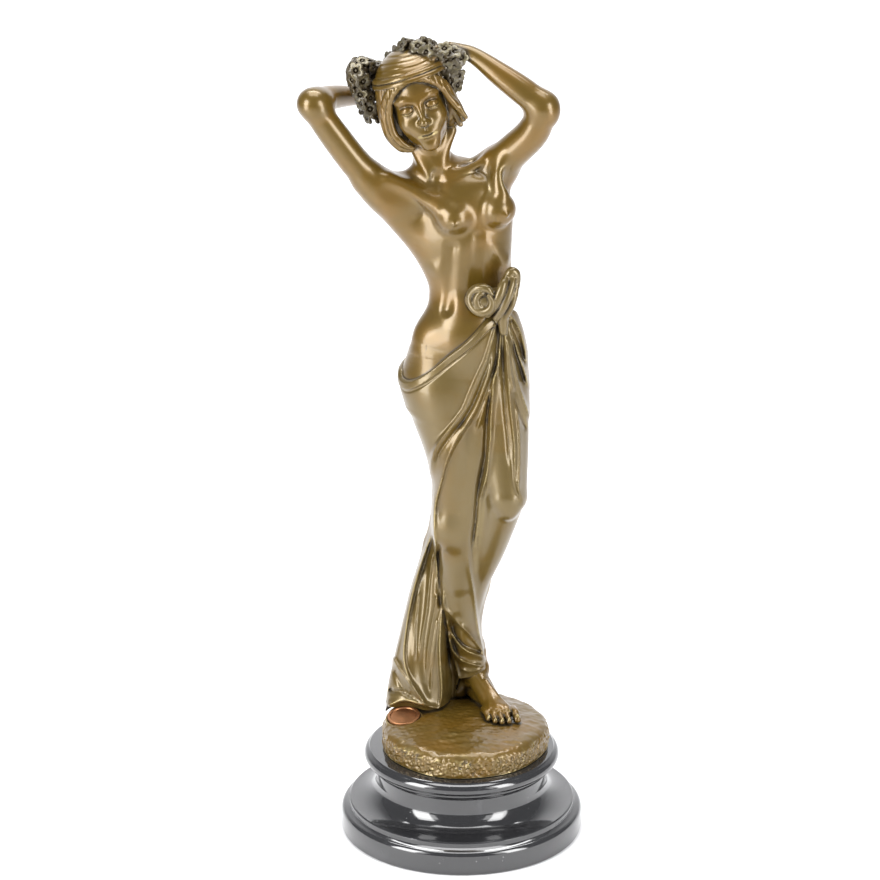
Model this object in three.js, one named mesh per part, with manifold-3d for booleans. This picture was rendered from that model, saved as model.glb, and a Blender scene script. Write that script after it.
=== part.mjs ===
// A bronze girl with a flower garland on a round ground of rock, standing on a turned marble base.
// Millimetres, +Z up, her front towards -Y. The origin is the centre of the marble's underside.
import * as THREE from 'three';
import Module from 'manifold-3d';
import { mergeVertices } from 'three/addons/utils/BufferGeometryUtils.js';

// Driving dimensions of the marble base
const BASE_RADIUS = 62.5;
const BASE_HEIGHT = 45;
const FOOT_BAND = 10;
const FOOT_ROUNDING = 2.8;
const EDGE_CHAMFER = 1.2;
const BEAD_RADIUS = 58.6;
const BEAD_HEIGHT = 2.6;
const NECK_RADIUS = 43.5;
const NECK_LOW = 26.5;
const NECK_HIGH = 33.5;
const RIM_RADIUS = 50.5;
const RIM_ROUNDING = 3.4;
const BASE_SIDES = 44;

// Driving dimensions of the bronze
const FIGURE_HEIGHT = 350;
const GROUND_RADIUS = 43;
const GROUND_OFFSET = 1.5;
const GROUND_EDGE_HEIGHT = 11.6;
const GROUND_CROWN_HEIGHT = 15.3;
const GROUND_ROUNDING = 4.5;
const CLOTH_THICKNESS = 1.3;
const FLOWER_RADIUS = 3.6;
const GARLAND_THICKNESS = 8;

// Driving dimensions of the seal disc that lies on the ground
const SEAL_DIAMETER = 17;
const SEAL_THICKNESS = 1.8;
const SEAL_RIM = 1.3;
const SEAL_SINK = 0.5;
const SEAL_REACH = 31.5;
const SEAL_SIDE = 176;
const SEAL_TILT = 9;
const SEAL_LEAN = -4;
const SEAL_SIDES = 24;
const SEAT_MARGIN = 1.2;

const CLEARANCE = 0.3;

// Fineness of the faceted bronze
const CELL = 2;
const TRIANGLE_BUDGET = 7250;

const { degToRad, lerp, smoothstep, clamp } = THREE.MathUtils;

// The figure's tables below are in 350ths of its height, with its soles at a height of 60.
const TABLE_HEIGHT = 350;
const TABLE_SOLE = 60;
const TABLE_LOW = [-84, -46];
const TABLE_HIGH = [55, 50, 426];
const share = FIGURE_HEIGHT / TABLE_HEIGHT;
const FAR = 12;
const RETRIES = 12;
const GOLDEN_ANGLE = Math.PI * (3 - Math.sqrt(5));
const groundLevel = BASE_HEIGHT + CLEARANCE;
const soleLevel = groundLevel + GROUND_CROWN_HEIGHT;

// Joins two distances with a fillet of about k
function blend(a, b, k) {
  const h = Math.max(k - Math.abs(a - b), 0) / k;
  return Math.min(a, b) - h * h * k * 0.25;
}

// Takes b away from a with a rounded edge of about k
function carve(a, b, k) {
  return -blend(-a, b, k);
}

// Keeps what is in both a and b, with a rounded edge of about k
function common(a, b, k) {
  return -blend(-a, -b, k);
}

// A round bar from one end to the other, each end as x, y, z and radius
function limb(from, to) {
  const [ax, ay, az, ar] = from;
  const dx = to[0] - ax;
  const dy = to[1] - ay;
  const dz = to[2] - az;
  const dr = to[3] - ar;
  const lengthSquared = dx * dx + dy * dy + dz * dz;
  return (x, y, z) => {
    const px = x - ax;
    const py = y - ay;
    const pz = z - az;
    const t = clamp((px * dx + py * dy + pz * dz) / lengthSquared, 0, 1);
    return Math.hypot(px - t * dx, py - t * dy, pz - t * dz) - ar - t * dr;
  };
}

// A rounded form along a smooth curve through points of x, y, z and radius
function chain(points, steps = 4) {
  const places = new THREE.CatmullRomCurve3(points.map((point) => new THREE.Vector3(...point)));
  const radii = new THREE.CatmullRomCurve3(points.map((point, i) => new THREE.Vector3(i, point[3], 0)));
  const count = (points.length - 1) * steps;
  const stations = [];
  for (let i = 0; i <= count; i++) {
    stations.push([...places.getPoint(i / count).toArray(), radii.getPoint(i / count).y]);
  }
  const bars = stations.slice(1).map((station, i) => limb(stations[i], station));
  const bound = new THREE.Sphere().setFromPoints(stations.map((station) => new THREE.Vector3(...station)));
  const reach = bound.radius + Math.max(...points.map((point) => point[3]));
  const { x: bx, y: by, z: bz } = bound.center;
  return (x, y, z) => {
    const away = Math.hypot(x - bx, y - by, z - bz) - reach;
    if (away > FAR) return away;
    let d = Infinity;
    for (const bar of bars) d = Math.min(d, bar(x, y, z));
    return d;
  };
}

// An egg shape: centre, half sizes and its turns about X, Y and Z in degrees
function egg([cx, cy, cz], [rx, ry, rz], [turnX, turnY, turnZ] = [0, 0, 0]) {
  const euler = new THREE.Euler(degToRad(turnX), degToRad(turnY), degToRad(turnZ), 'ZYX');
  const m = new THREE.Matrix4().makeRotationFromEuler(euler).transpose().elements;
  return (x, y, z) => {
    const px = x - cx;
    const py = y - cy;
    const pz = z - cz;
    const qx = (m[0] * px + m[4] * py + m[8] * pz) / rx;
    const qy = (m[1] * px + m[5] * py + m[9] * pz) / ry;
    const qz = (m[2] * px + m[6] * py + m[10] * pz) / rz;
    const outward = Math.hypot(qx, qy, qz);
    const steep = Math.hypot(qx / rx, qy / ry, qz / rz);
    return steep < 1e-9 ? -Math.min(rx, ry, rz) : outward * (outward - 1) / steep;
  };
}

// Smooth values between the rows of a table whose first column rises
function smoothTable(rows, step = 1) {
  const first = rows[0][0];
  const last = rows[rows.length - 1][0];
  const count = Math.ceil((last - first) / step) + 1;
  const columns = rows[0].length - 1;
  const curves = [];
  for (let c = 1; c <= columns; c++) {
    const values = new Float64Array(count);
    let row = 0;
    for (let i = 0; i < count; i++) {
      const at = Math.min(first + i * step, last);
      while (row < rows.length - 2 && rows[row + 1][0] < at) row++;
      const before = rows[Math.max(row - 1, 0)];
      const from = rows[row];
      const to = rows[row + 1];
      const after = rows[Math.min(row + 2, rows.length - 1)];
      const span = to[0] - from[0];
      const t = (at - from[0]) / span;
      const slopeFrom = span * (to[c] - before[c]) / (to[0] - before[0]);
      const slopeTo = span * (after[c] - from[c]) / (after[0] - from[0]);
      const t2 = t * t;
      const t3 = t2 * t;
      values[i] = (2 * t3 - 3 * t2 + 1) * from[c] + (t3 - 2 * t2 + t) * slopeFrom
        + (3 * t2 - 2 * t3) * to[c] + (t3 - t2) * slopeTo;
    }
    curves.push(values);
  }
  return (at, column) => {
    const place = clamp((at - first) / step, 0, count - 1.001);
    const i = Math.floor(place);
    return lerp(curves[column][i], curves[column][i + 1], place - i);
  };
}

// A stack of oval sections. Each row is height, left, right, front, back and a turn in degrees
function loft(rows, endRounding = 3) {
  const table = smoothTable(rows.map((row) => (row.length < 6 ? [...row, 0] : row)));
  const low = rows[0][0];
  const high = rows[rows.length - 1][0];
  return (x, y, z) => {
    const left = table(z, 0);
    const right = table(z, 1);
    const front = table(z, 2);
    const back = table(z, 3);
    const turn = degToRad(table(z, 4));
    const halfWidth = (right - left) / 2;
    const halfDepth = (back - front) / 2;
    const px = x - (left + right) / 2;
    const py = y - (front + back) / 2;
    const qx = (px * Math.cos(turn) + py * Math.sin(turn)) / halfWidth;
    const qy = (py * Math.cos(turn) - px * Math.sin(turn)) / halfDepth;
    const outward = Math.hypot(qx, qy);
    const steep = Math.hypot(qx / halfWidth, qy / halfDepth);
    const side = steep < 1e-9 ? -Math.min(halfWidth, halfDepth) : outward * (outward - 1) / steep;
    return common(side, Math.max(low - z, z - high), endRounding);
  };
}

// Folds are drawn as ridges (or hollows, with a negative height) on a plane that leans back by
// this slope, the way they are seen from a step away and a little above.
const VIEW_SLOPE = 0.37;
const VIEW_DEPTH = 18;

function ridge(path, width, height) {
  const reach = 2.4 * width;
  const xs = path.map((point) => point[0]);
  const zs = path.map((point) => point[1]);
  const box = [Math.min(...xs) - reach, Math.max(...xs) + reach, Math.min(...zs) - reach, Math.max(...zs) + reach];
  const pieces = path.slice(1).map((end, i) => {
    const [ax, az] = path[i];
    const dx = end[0] - ax;
    const dz = end[1] - az;
    return { ax, az, dx, dz, lengthSquared: dx * dx + dz * dz };
  });
  return (x, z) => {
    if (x < box[0] || x > box[1] || z < box[2] || z > box[3]) return 0;
    let nearest = Infinity;
    let along = 0;
    pieces.forEach((piece, i) => {
      const t = clamp(((x - piece.ax) * piece.dx + (z - piece.az) * piece.dz) / piece.lengthSquared, 0, 1);
      const distance = Math.hypot(x - piece.ax - t * piece.dx, z - piece.az - t * piece.dz);
      if (distance < nearest) {
        nearest = distance;
        along = (i + t) / pieces.length;
      }
    });
    const fade = smoothstep(along, -0.12, 0.12) * smoothstep(1 - along, -0.12, 0.15);
    return height * fade * Math.exp(-((nearest / width) ** 2));
  };
}

function sumOf(ridges, x, z) {
  let total = 0;
  for (const fold of ridges) total += fold(x, z);
  return total;
}

// The trunk, from the hips to the pit of the neck
const trunk = loft([
  [228, -26.6, 31, -4, 32],
  [240, -29.8, 30.6, -4.5, 34.5],
  [250, -28.2, 28.6, -4.5, 35],
  [262, -22.6, 26.4, -3, 32.5],
  [272, -20, 26, -1.2, 29.5],
  [282, -17, 25.2, 0.5, 28],
  [292, -17, 24.8, 0.5, 28.5],
  [303, -19.5, 24.4, 0, 30.5],
  [315, -22, 24.8, -1, 33],
  [327, -23.5, 24.8, -0.5, 34],
  [338, -25, 20.5, 2, 33],
  [347, -24, 13, 6.5, 30],
  [353, -21, 2, 10, 25],
]);

const backMuscle = chain([[-46.5, 14, 345.5, 7.8], [-35.2, 15, 333.6, 9.3], [-23.2, 17, 319.4, 9.7], [-10.5, 17, 302, 7.8]]);
const leftFlank = chain([[18.6, 20, 350, 7.2], [13, 19, 327, 7.6]]);
const shoulders = chain([[-36, 15, 338, 8], [-16, 19, 343, 8], [6, 21, 346, 7.6], [18, 20, 351, 9.4]]);
const collar = chain([[-13, 8.5, 347.5, 1.6], [2, 10, 351.5, 1.8], [14, 14, 357, 2.2]]);
const neck = chain([[-12, 18, 346, 9.5], [-15, 16, 358, 8.6], [-17.5, 15, 374, 8.8]]);
const neckCords = [
  limb([-13, 7.5, 349, 1.7], [-5.5, 15, 370, 2.6]),
  limb([-15.5, 7.5, 349, 1.7], [-27, 15, 366, 2.4]),
];
const breasts = [
  egg([-4, 3, 329], [8.8, 8.8, 8.6], [-12, 0, 8]),
  egg([17.6, 5, 332.5], [8.8, 8.8, 8.6], [-12, 0, 30]),
];
const nipples = [limb([-3.5, -5, 328.5, 1.5], [-3.4, -6.4, 328.2, 0.9]), limb([21, -2.6, 332, 1.5], [21.8, -3.8, 331.7, 0.9])];
const chestPlate = egg([4, 7, 337], [17, 6.5, 11], [-12, -12, 10]);
const ribArch = [
  limb([5, 2.5, 318, 1.6], [-11, 6.5, 302, 2.4]),
  limb([10, 2.5, 318, 1.6], [20.5, 7, 303, 2.4]),
];
const middleLine = limb([7.6, -2.6, 320, 1.2], [6.2, -1.8, 284, 1]);
const navel = egg([6, -0.5, 292], [1.3, 2, 1.8]);
const belly = egg([3, 6, 268], [15, 10.5, 14], [6, 0, 0]);
const hipBones = [egg([-17.6, 8, 262], [6.6, 7, 8]), egg([22.4, 8, 262], [6.6, 7, 8])];
const buttocks = [egg([-11, 26, 243], [15, 12.5, 14.5]), egg([17, 25, 243], [14.5, 12.5, 14.5])];
const spine = chain([[-11, 35, 340, 2.2], [-2, 36.5, 318, 2.2], [4, 30.5, 290, 2.4], [4, 35, 262, 1.6]]);
const shoulderBlades = [egg([-22, 28, 331], [9, 5, 12], [8, 20, -14]), egg([12, 30, 335], [9, 5, 12], [8, -20, 20])];
const armpits = [egg([-33, 4, 338], [4.5, 3.5, 7.5], [0, 50, 0]), egg([17, 6, 349.5], [3.6, 3.4, 7], [0, -20, 0])];
const chestCords = [
  chain([[-37, 8, 347, 4], [-24, 6.5, 341, 4], [-12, 3, 335, 4]]),
  chain([[20, 11, 358, 3.6], [18, 6, 349, 3.6], [19, 3.5, 341, 4]]),
];

function trunkForm(x, y, z) {
  let d = blend(trunk(x, y, z), backMuscle(x, y, z), 9);
  d = blend(d, leftFlank(x, y, z), 6);
  d = blend(d, shoulders(x, y, z), 7);
  d = blend(d, neck(x, y, z), 8);
  for (const cord of neckCords) d = blend(d, cord(x, y, z), 3);
  d = blend(d, collar(x, y, z), 3);
  d = blend(d, chestPlate(x, y, z), 5);
  for (const cord of chestCords) d = blend(d, cord(x, y, z), 5);
  for (const breast of breasts) d = blend(d, breast(x, y, z), 2.6);
  for (const nipple of nipples) d = blend(d, nipple(x, y, z), 1);
  for (const rib of ribArch) d = blend(d, rib(x, y, z), 5);
  for (const blade of shoulderBlades) d = blend(d, blade(x, y, z), 5);
  d = blend(d, belly(x, y, z), 9);
  for (const bone of hipBones) d = blend(d, bone(x, y, z), 7);
  for (const cheek of buttocks) d = blend(d, cheek(x, y, z), 5);
  d = carve(d, middleLine(x, y, z), 4);
  d = carve(d, spine(x, y, z), 5);
  d = carve(d, navel(x, y, z), 1.6);
  for (const hollow of armpits) d = carve(d, hollow(x, y, z), 3);
  return d;
}

// The arms, raised to the garland, and the hand that holds it over the head
const rightArm = chain([
  [-28, 15, 334.6, 9.8], [-39.6, 14, 340, 9.4], [-51.2, 12, 352.2, 7.7], [-63.3, 10, 369, 7.3], [-73.8, 8, 385, 6.5],
]);
const rightForearm = chain([[-73.4, 8, 386, 6.4], [-67, 20, 385, 6.2], [-58, 34, 382.3, 5.2], [-51, 43, 379.5, 4]]);
const rightHand = chain([[-51, 43, 379.5, 4], [-46, 40, 383, 4.2], [-43, 34, 388, 3]]);
const leftArm = chain([
  [14, 20, 347, 9.4], [24.4, 14, 359.2, 8.6], [34.6, 8, 371.5, 8.1], [39.6, 4, 385, 7],
]);
const leftForearm = chain([[39.2, 4, 385, 6.8], [30.2, 6, 391.8, 6.9], [19.3, 9, 399.2, 6], [4, 14, 409, 4], [-2, 15, 410.3, 3.9]]);
const leftHand = [
  egg([-6, 14.5, 410.5], [6, 3.4, 4.6], [0, 8, 0]),
  chain([[-8, 12, 413, 1.9], [-14, 9.5, 412.5, 1.7], [-18, 9.5, 409, 1.5]]),
  chain([[-8, 11.5, 410.5, 1.9], [-14, 8.5, 409.5, 1.7], [-17.5, 8.8, 405.5, 1.5]]),
  chain([[-7, 11.5, 408, 1.8], [-11.5, 8.5, 406, 1.6], [-14, 9, 402.5, 1.4]]),
  chain([[-5, 12, 406, 1.7], [-8, 9.5, 403.5, 1.5], [-9.5, 10, 400.5, 1.3]]),
];
const elbowTips = [egg([-77.5, 7, 382.5], [3, 3.4, 3.4]), egg([43, 3, 380.6], [3, 3.4, 3.4])];

function armsForm(x, y, z) {
  let d = blend(rightArm(x, y, z), rightForearm(x, y, z), 3);
  d = blend(d, rightHand(x, y, z), 2);
  let other = blend(leftArm(x, y, z), leftForearm(x, y, z), 3);
  for (const part of leftHand) other = blend(other, part(x, y, z), 1.6);
  d = Math.min(d, other);
  for (const tip of elbowTips) d = blend(d, tip(x, y, z), 3);
  return d;
}

// The head in its own frame: her left to +X, the face to -Y, the crown at +Z
const HEAD_CENTRE = [-22.5, 12, 387];
const HEAD_TURNS = [2, -17, 4];
const cranium = egg([0, 2.5, 6.5], [15, 18, 16.8]);
const jaw = egg([0, -4.5, -7.5], [12, 13, 16.5], [-4, 0, 0]);
const chin = egg([0, -13.2, -19.8], [4.6, 4.4, 3.9]);
const brow = egg([0, -12.5, 4.5], [10.5, 4.5, 3.6]);
const eyeHollows = [-1, 1].map((side) => egg([side * 6, -18.6, 0.2], [4.2, 3.8, 3], [0, 0, side * 16]));
const eyes = [-1, 1].map((side) => egg([side * 5.9, -13, -0.2], [3.3, 3.3, 2.6]));
const cheeks = [-1, 1].map((side) => egg([side * 6.8, -11.5, -7.5], [4.6, 4.6, 5]));
const nose = chain([[0, -16.2, 2.5, 1.3], [0, -18.6, -3, 1.3], [0, -20.4, -7.2, 1.9]]);
const nostrils = [-1, 1].map((side) => egg([side * 1.9, -18.3, -7.8], [1.4, 2, 1.4]));
const lips = [egg([0, -17, -12.9], [4.2, 1.9, 1.15]), egg([0, -16.6, -15], [3.4, 1.9, 1.3])];
const hairCap = egg([0, 3, 6.8], [18.6, 20.6, 18.6]);
const hairFringe = [
  chain([
    [0, -14.5, 14.5, 1.6], [-7, -13.2, 12.5, 2.2], [-13.2, -9.2, 6, 2.4], [-16.4, -6.5, -3, 2.8],
    [-16.8, -6, -12, 3.4], [-14, -6.5, -18.5, 3], [-10.5, -6.5, -21, 2],
  ]),
  chain([
    [0, -14.5, 14.5, 1.6], [8, -12.6, 11.5, 2.2], [14, -8.8, 4, 2.6], [16.6, -7.5, -3, 2.6],
    [18.8, -8, -9.5, 2.3], [20, -8.5, -14, 1.2],
  ]),
];
const hairSides = [egg([-14.4, 3, -7.5], [6.8, 9.5, 15]), egg([13.2, 3, -6.5], [6, 9.5, 14])];
const nape = egg([0, 13, -8], [13, 9, 12]);
const ribbon = new THREE.Vector3(0, 3, 12.6);
const ribbonPlane = new THREE.Vector3(0, 0.16, 1).normalize();

function headForm(x, y, z) {
  let d = blend(cranium(x, y, z), jaw(x, y, z), 6);
  d = blend(d, chin(x, y, z), 4);
  d = blend(d, brow(x, y, z), 4);
  for (const cheek of cheeks) d = blend(d, cheek(x, y, z), 4);
  for (const hollow of eyeHollows) d = carve(d, hollow(x, y, z), 2.6);
  for (const eye of eyes) d = blend(d, eye(x, y, z), 0.8);
  d = blend(d, nose(x, y, z), 1.8);
  for (const wing of nostrils) d = blend(d, wing(x, y, z), 0.8);
  for (const lip of lips) d = blend(d, lip(x, y, z), 1);
  let hair = carve(hairCap(x, y, z), Math.max(y + 5, z - 13), 5);
  for (const lock of hairSides) hair = blend(hair, lock(x, y, z), 4);
  for (const lock of hairFringe) hair = blend(hair, lock(x, y, z), 3);
  hair = blend(hair, nape(x, y, z), 5);
  const height = (x - ribbon.x) * ribbonPlane.x + (y - ribbon.y) * ribbonPlane.y + (z - ribbon.z) * ribbonPlane.z;
  const band = Math.hypot(Math.max(Math.abs(height) - 0.5, 0), Math.max(Math.abs(hairCap(x, y, z)) - 0.5, 0)) - 0.8;
  hair = blend(hair, band, 0.8);
  return blend(d, hair, 0.7);
}

const headPlace = new THREE.Matrix4().compose(
  new THREE.Vector3(...HEAD_CENTRE),
  new THREE.Quaternion().setFromEuler(new THREE.Euler(...HEAD_TURNS.map(degToRad), 'YXZ')),
  new THREE.Vector3(1, 1, 1),
).invert().elements;

function placedHead(x, y, z) {
  const m = headPlace;
  return headForm(
    m[0] * x + m[4] * y + m[8] * z + m[12],
    m[1] * x + m[5] * y + m[9] * z + m[13],
    m[2] * x + m[6] * y + m[10] * z + m[14],
  );
}

// The garland: a rope of leaves from hand to hand behind the head, over it and down its far side
const garlandPath = new THREE.CatmullRomCurve3([
  [-44.5, 19, 376.5], [-47, 18.5, 385], [-51, 18, 393], [-51, 18.5, 399], [-46.5, 24, 397.5], [-40, 29, 395.5],
  [-32.5, 23, 404], [-26, 15, 412], [-17, 11.5, 411.5], [-9.5, 11.5, 406], [-7, 13, 398.5], [-7.5, 15, 391],
  [-7.5, 17.5, 383.5],
].map((point) => new THREE.Vector3(...point)));
const garlandCount = 92;
const garlandBulk = smoothTable([[0, 0.4], [0.12, 0.52], [0.26, 0.7], [0.36, 0.4], [0.5, 0.42], [0.8, 0.42], [1, 0.36]], 0.02);
const garlandCore = chain(garlandPath.getSpacedPoints(24).map((point, i) => (
  [...point.toArray(), GARLAND_THICKNESS * garlandBulk(i / 24, 0)]
)), 1);

// A seeded draw, so the flowers are the same each time
function seededDraw(seed) {
  let state = seed;
  return () => {
    state = (state * 1664525 + 1013904223) % 4294967296;
    return state / 4294967296;
  };
}

function flower(centre, facing, radius) {
  const out = facing.clone().normalize();
  const side = new THREE.Vector3(0.3, 0.1, 1).cross(out).normalize();
  const up = out.clone().cross(side);
  const petals = [];
  for (let i = 0; i < 5; i++) {
    const angle = i * Math.PI * 0.4;
    const place = centre.clone()
      .addScaledVector(side, Math.cos(angle) * radius * 0.58)
      .addScaledVector(up, Math.sin(angle) * radius * 0.58);
    petals.push(place);
  }
  const bound = radius * 2;
  return (x, y, z) => {
    const dx = x - centre.x;
    const dy = y - centre.y;
    const dz = z - centre.z;
    const far = Math.hypot(dx, dy, dz);
    if (far > bound) return far - radius;
    let d = Math.hypot(dx - out.x * 0.6, dy - out.y * 0.6, dz - out.z * 0.6) - radius * 0.34;
    for (const petal of petals) {
      const px = x - petal.x;
      const py = y - petal.y;
      const pz = z - petal.z;
      const lift = px * out.x + py * out.y + pz * out.z;
      const spread = Math.sqrt(Math.max(px * px + py * py + pz * pz - lift * lift, 0));
      d = blend(d, (Math.hypot(spread / (radius * 0.46), lift / (radius * 0.3)) - 1) * radius * 0.3, 0.5);
    }
    return d;
  };
}

function garlandFlowers() {
  const draw = seededDraw(7);
  const flowers = [];
  for (let i = 0; i < garlandCount; i++) {
    const at = (i + 0.5) / garlandCount;
    const point = garlandPath.getPointAt(at);
    const tangent = garlandPath.getTangentAt(at);
    const facing = new THREE.Vector3(0, -1, 0.2).cross(tangent).normalize();
    facing.applyAxisAngle(tangent, i * GOLDEN_ANGLE + 0.5 * draw()).addScaledVector(tangent, 0.5 * draw() - 0.25);
    facing.normalize();
    const centre = point.clone().addScaledVector(facing, GARLAND_THICKNESS * garlandBulk(at, 0) + 0.5);
    flowers.push(flower(centre, facing, FLOWER_RADIUS * (0.9 + 0.3 * draw())));
  }
  return flowers;
}

const flowers = garlandFlowers();

function garlandForm(x, y, z) {
  let d = garlandCore(x, y, z);
  if (d > 9) return d - 5;
  for (const bloom of flowers) d = blend(d, bloom(x, y, z), 0.5);
  return d;
}

// The legs, under the cloth
const rightLeg = loft([
  [66, 0.4, 12.8, 20, 36],
  [74, 0.4, 12.8, 20, 36],
  [86, -1.3, 10.2, 19, 35.5],
  [98, -4.4, 7.4, 17.5, 35.5],
  [111, -6.7, 6, 15, 36],
  [125, -10, 5.6, 12, 35.5],
  [140, -11.6, 4, 8.5, 32],
  [152, -13, 2.6, 5, 27.5],
  [163, -13.8, 3, 2.5, 26],
  [174, -13.8, 4, 1, 26],
  [188, -14.3, 6, -2, 27],
  [205, -18.6, 8, -4.5, 29],
  [222, -24.6, 9, -5.5, 32],
  [240, -28.6, 9, -6, 34],
  [256, -24.6, 8, -5, 33],
]);
const kneeCap = egg([-5, 5.5, 162], [6, 4, 7]);
const leftThigh = chain([[15, 14, 250, 16.4], [19.5, 7.5, 214, 13], [22.6, -0.5, 184, 8.9]]);
const leftShin = chain([[22.4, 0, 182, 8.6], [14, 14, 150, 7.6], [5, 25, 122, 6.2], [-1.5, 34, 97, 5]]);
const leftFoot = chain([[0, 34, 95, 5.4], [-3, 36, 74, 5], [-1, 28, 62, 4.5]]);

function legsForm(x, y, z) {
  let d = blend(rightLeg(x, y, z), kneeCap(x, y, z), 7);
  d = blend(d, leftThigh(x, y, z), 7);
  d = blend(d, leftShin(x, y, z), 7);
  return blend(d, leftFoot(x, y, z), 5);
}

// The upper edge of the cloth, by the angle round the hips from her left side: angle, height
const HIP_AXIS = [2, 14];
const edgeRows = [
  [-213.7, 249.5], [-180, 246], [-172, 243.4], [-157.6, 244], [-141.8, 248.8], [-118.8, 258.4], [-91.2, 267.4],
  [-64.4, 277], [-50, 280], [-26.6, 281.5], [4, 275], [48, 262], [95, 253], [146.3, 249.5], [180, 246],
  [188, 243.4], [202.4, 244],
];
const clothEdge = smoothTable(edgeRows, 2);

// The cloth stretched between her thighs
const lap = chain([[8, 7, 232, 9], [7.5, 5.5, 205, 8.6], [5, 6, 178, 7], [1, 9, 152, 4.5]]);

// The cloth behind her, from the seat down to the ground, where it spreads to her right
const backCloth = loft([
  [96, -22, 4, 22, 39],
  [120, -18, 8, 20, 37.5],
  [150, -12, 15, 18, 36],
  [185, -12, 25, 16, 36.5],
  [215, -17, 28, 14, 37.5],
  [240, -19, 28, 16, 37],
], 6);
const tail = loft([
  [50, -40, 6, 6, 36, 28],
  [60, -39.1, 5, 7, 35, 27],
  [73, -36.8, 5, 9, 36, 24],
  [88, -32.8, 4, 12, 37, 18],
  [107, -27.8, 3.5, 15, 38, 10],
  [124, -23.6, 6, 17, 38, 4],
  [141, -18.2, 10, 18, 37, 0],
  [157, -14.2, 14, 17, 36, 0],
  [170, -11, 17, 16, 34, 0],
], 5);

const frontFolds = [
  ridge([[15.5, 268], [11.5, 248], [5, 225], [-4.6, 204], [-12.5, 194], [-15, 184]], 2, 3),
  ridge([[17.8, 269], [15.6, 242], [10, 226], [-1.3, 204], [-12.7, 185], [-14.1, 163]], 1.8, 2.8),
  ridge([[21, 270], [20.4, 234], [22.2, 217], [26, 187]], 2.2, 3.6),
  ridge([[13.8, 222], [13.7, 195], [11.5, 181], [7.8, 172], [6, 160]], 1.7, 2.8),
  ridge([[24.3, 268], [30.8, 254], [33.5, 242]], 1.7, 2.6),
  ridge([[23.7, 262], [26, 252], [29.3, 242], [33, 234]], 1.6, 2.4),
  ridge([[22.7, 264], [24.5, 234], [28.6, 223], [33.5, 217]], 1.6, 2.2),
  ridge([[27.4, 224], [29.3, 190], [30.3, 178]], 1.8, 1.8),
  ridge([[17.9, 256], [17.5, 240], [15, 230]], 1.8, -2.4),
  ridge([[18, 226], [18.3, 205], [20, 186]], 2.2, -2.2),
  ridge([[25.1, 263], [28, 251], [31, 243]], 1.5, -1.8),
  ridge([[9, 214], [9.3, 199], [7, 184]], 1.6, -1.6),
];
const shinFolds = [
  ridge([[-15, 178], [-14.6, 156], [-13.2, 137], [-10.5, 118], [-5.8, 105], [1, 96], [12.3, 89]], 1.3, 1.5),
  ridge([[-6.8, 101], [-1.2, 92], [6.3, 86.5], [13, 86]], 1.5, 2),
  ridge([[-4, 93], [-2, 79], [0, 73]], 1.3, 1.6),
  ridge([[4.4, 83], [8.5, 79], [13.5, 78]], 1.3, 1.4),
];
const tailFolds = [
  ridge([[-15.5, 156], [-23.4, 133], [-29, 110], [-33.7, 87], [-37, 71], [-38.5, 57]], 1.8, 1.8),
  ridge([[-27.6, 107], [-30, 91], [-28.6, 80], [-23.5, 67], [-17.9, 55]], 1.5, 2.6),
  ridge([[-9, 120], [-10.9, 97], [-10.5, 76], [-13.3, 63], [-16.1, 55]], 1.6, 3),
  ridge([[-15.5, 141], [-20.6, 112], [-22, 84]], 1.6, 1.6),
  ridge([[-15.5, 114], [-18.3, 92], [-19.5, 74]], 1.3, 1.4),
  ridge([[-34.6, 82], [-31, 72], [-24.4, 62]], 1.5, 1.8),
  ridge([[-25.5, 112], [-26.5, 92], [-24, 76]], 2.2, -2.4),
  ridge([[-5.5, 112], [-5.8, 91], [-4.8, 74], [-4.4, 44]], 2.8, -4.4),
];
const backFolds = [-17, -9, -1, 7, 15, 23].map((x, i) => (
  ridge([[x * 0.9, 250 - 3 * (i % 2)], [x, 200], [x * 0.75 - 4, 140], [x * 0.8 - 12, 58]], 2, 2.1)
));

const knotRoll = chain([[6, -4.5, 290, 4.2], [12, -6, 291, 6.2], [19, -5.5, 293.5, 6], [24, -2, 295, 4.6]]);
const knotLoop = chain([[19.4, -3, 297, 2.6], [21.2, -2.5, 303.4, 2.3], [24.2, -1.5, 304, 2.3], [24.9, -1, 296, 2.6]]);
const knotTwists = [0, 1, 2, 3].map((i) => (
  chain([[6 + 5 * i, -8.5, 284 + i, 1.5], [9 + 5 * i, -12.4 + i * 0.6, 291 + i, 1.7], [13 + 4.6 * i, -8 + i, 298 + i, 1.4]])
));
const knotFall = chain([[20, -6, 290, 5], [18.5, -8, 279, 3.4], [19.5, -6, 268, 2.6]]);

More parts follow.
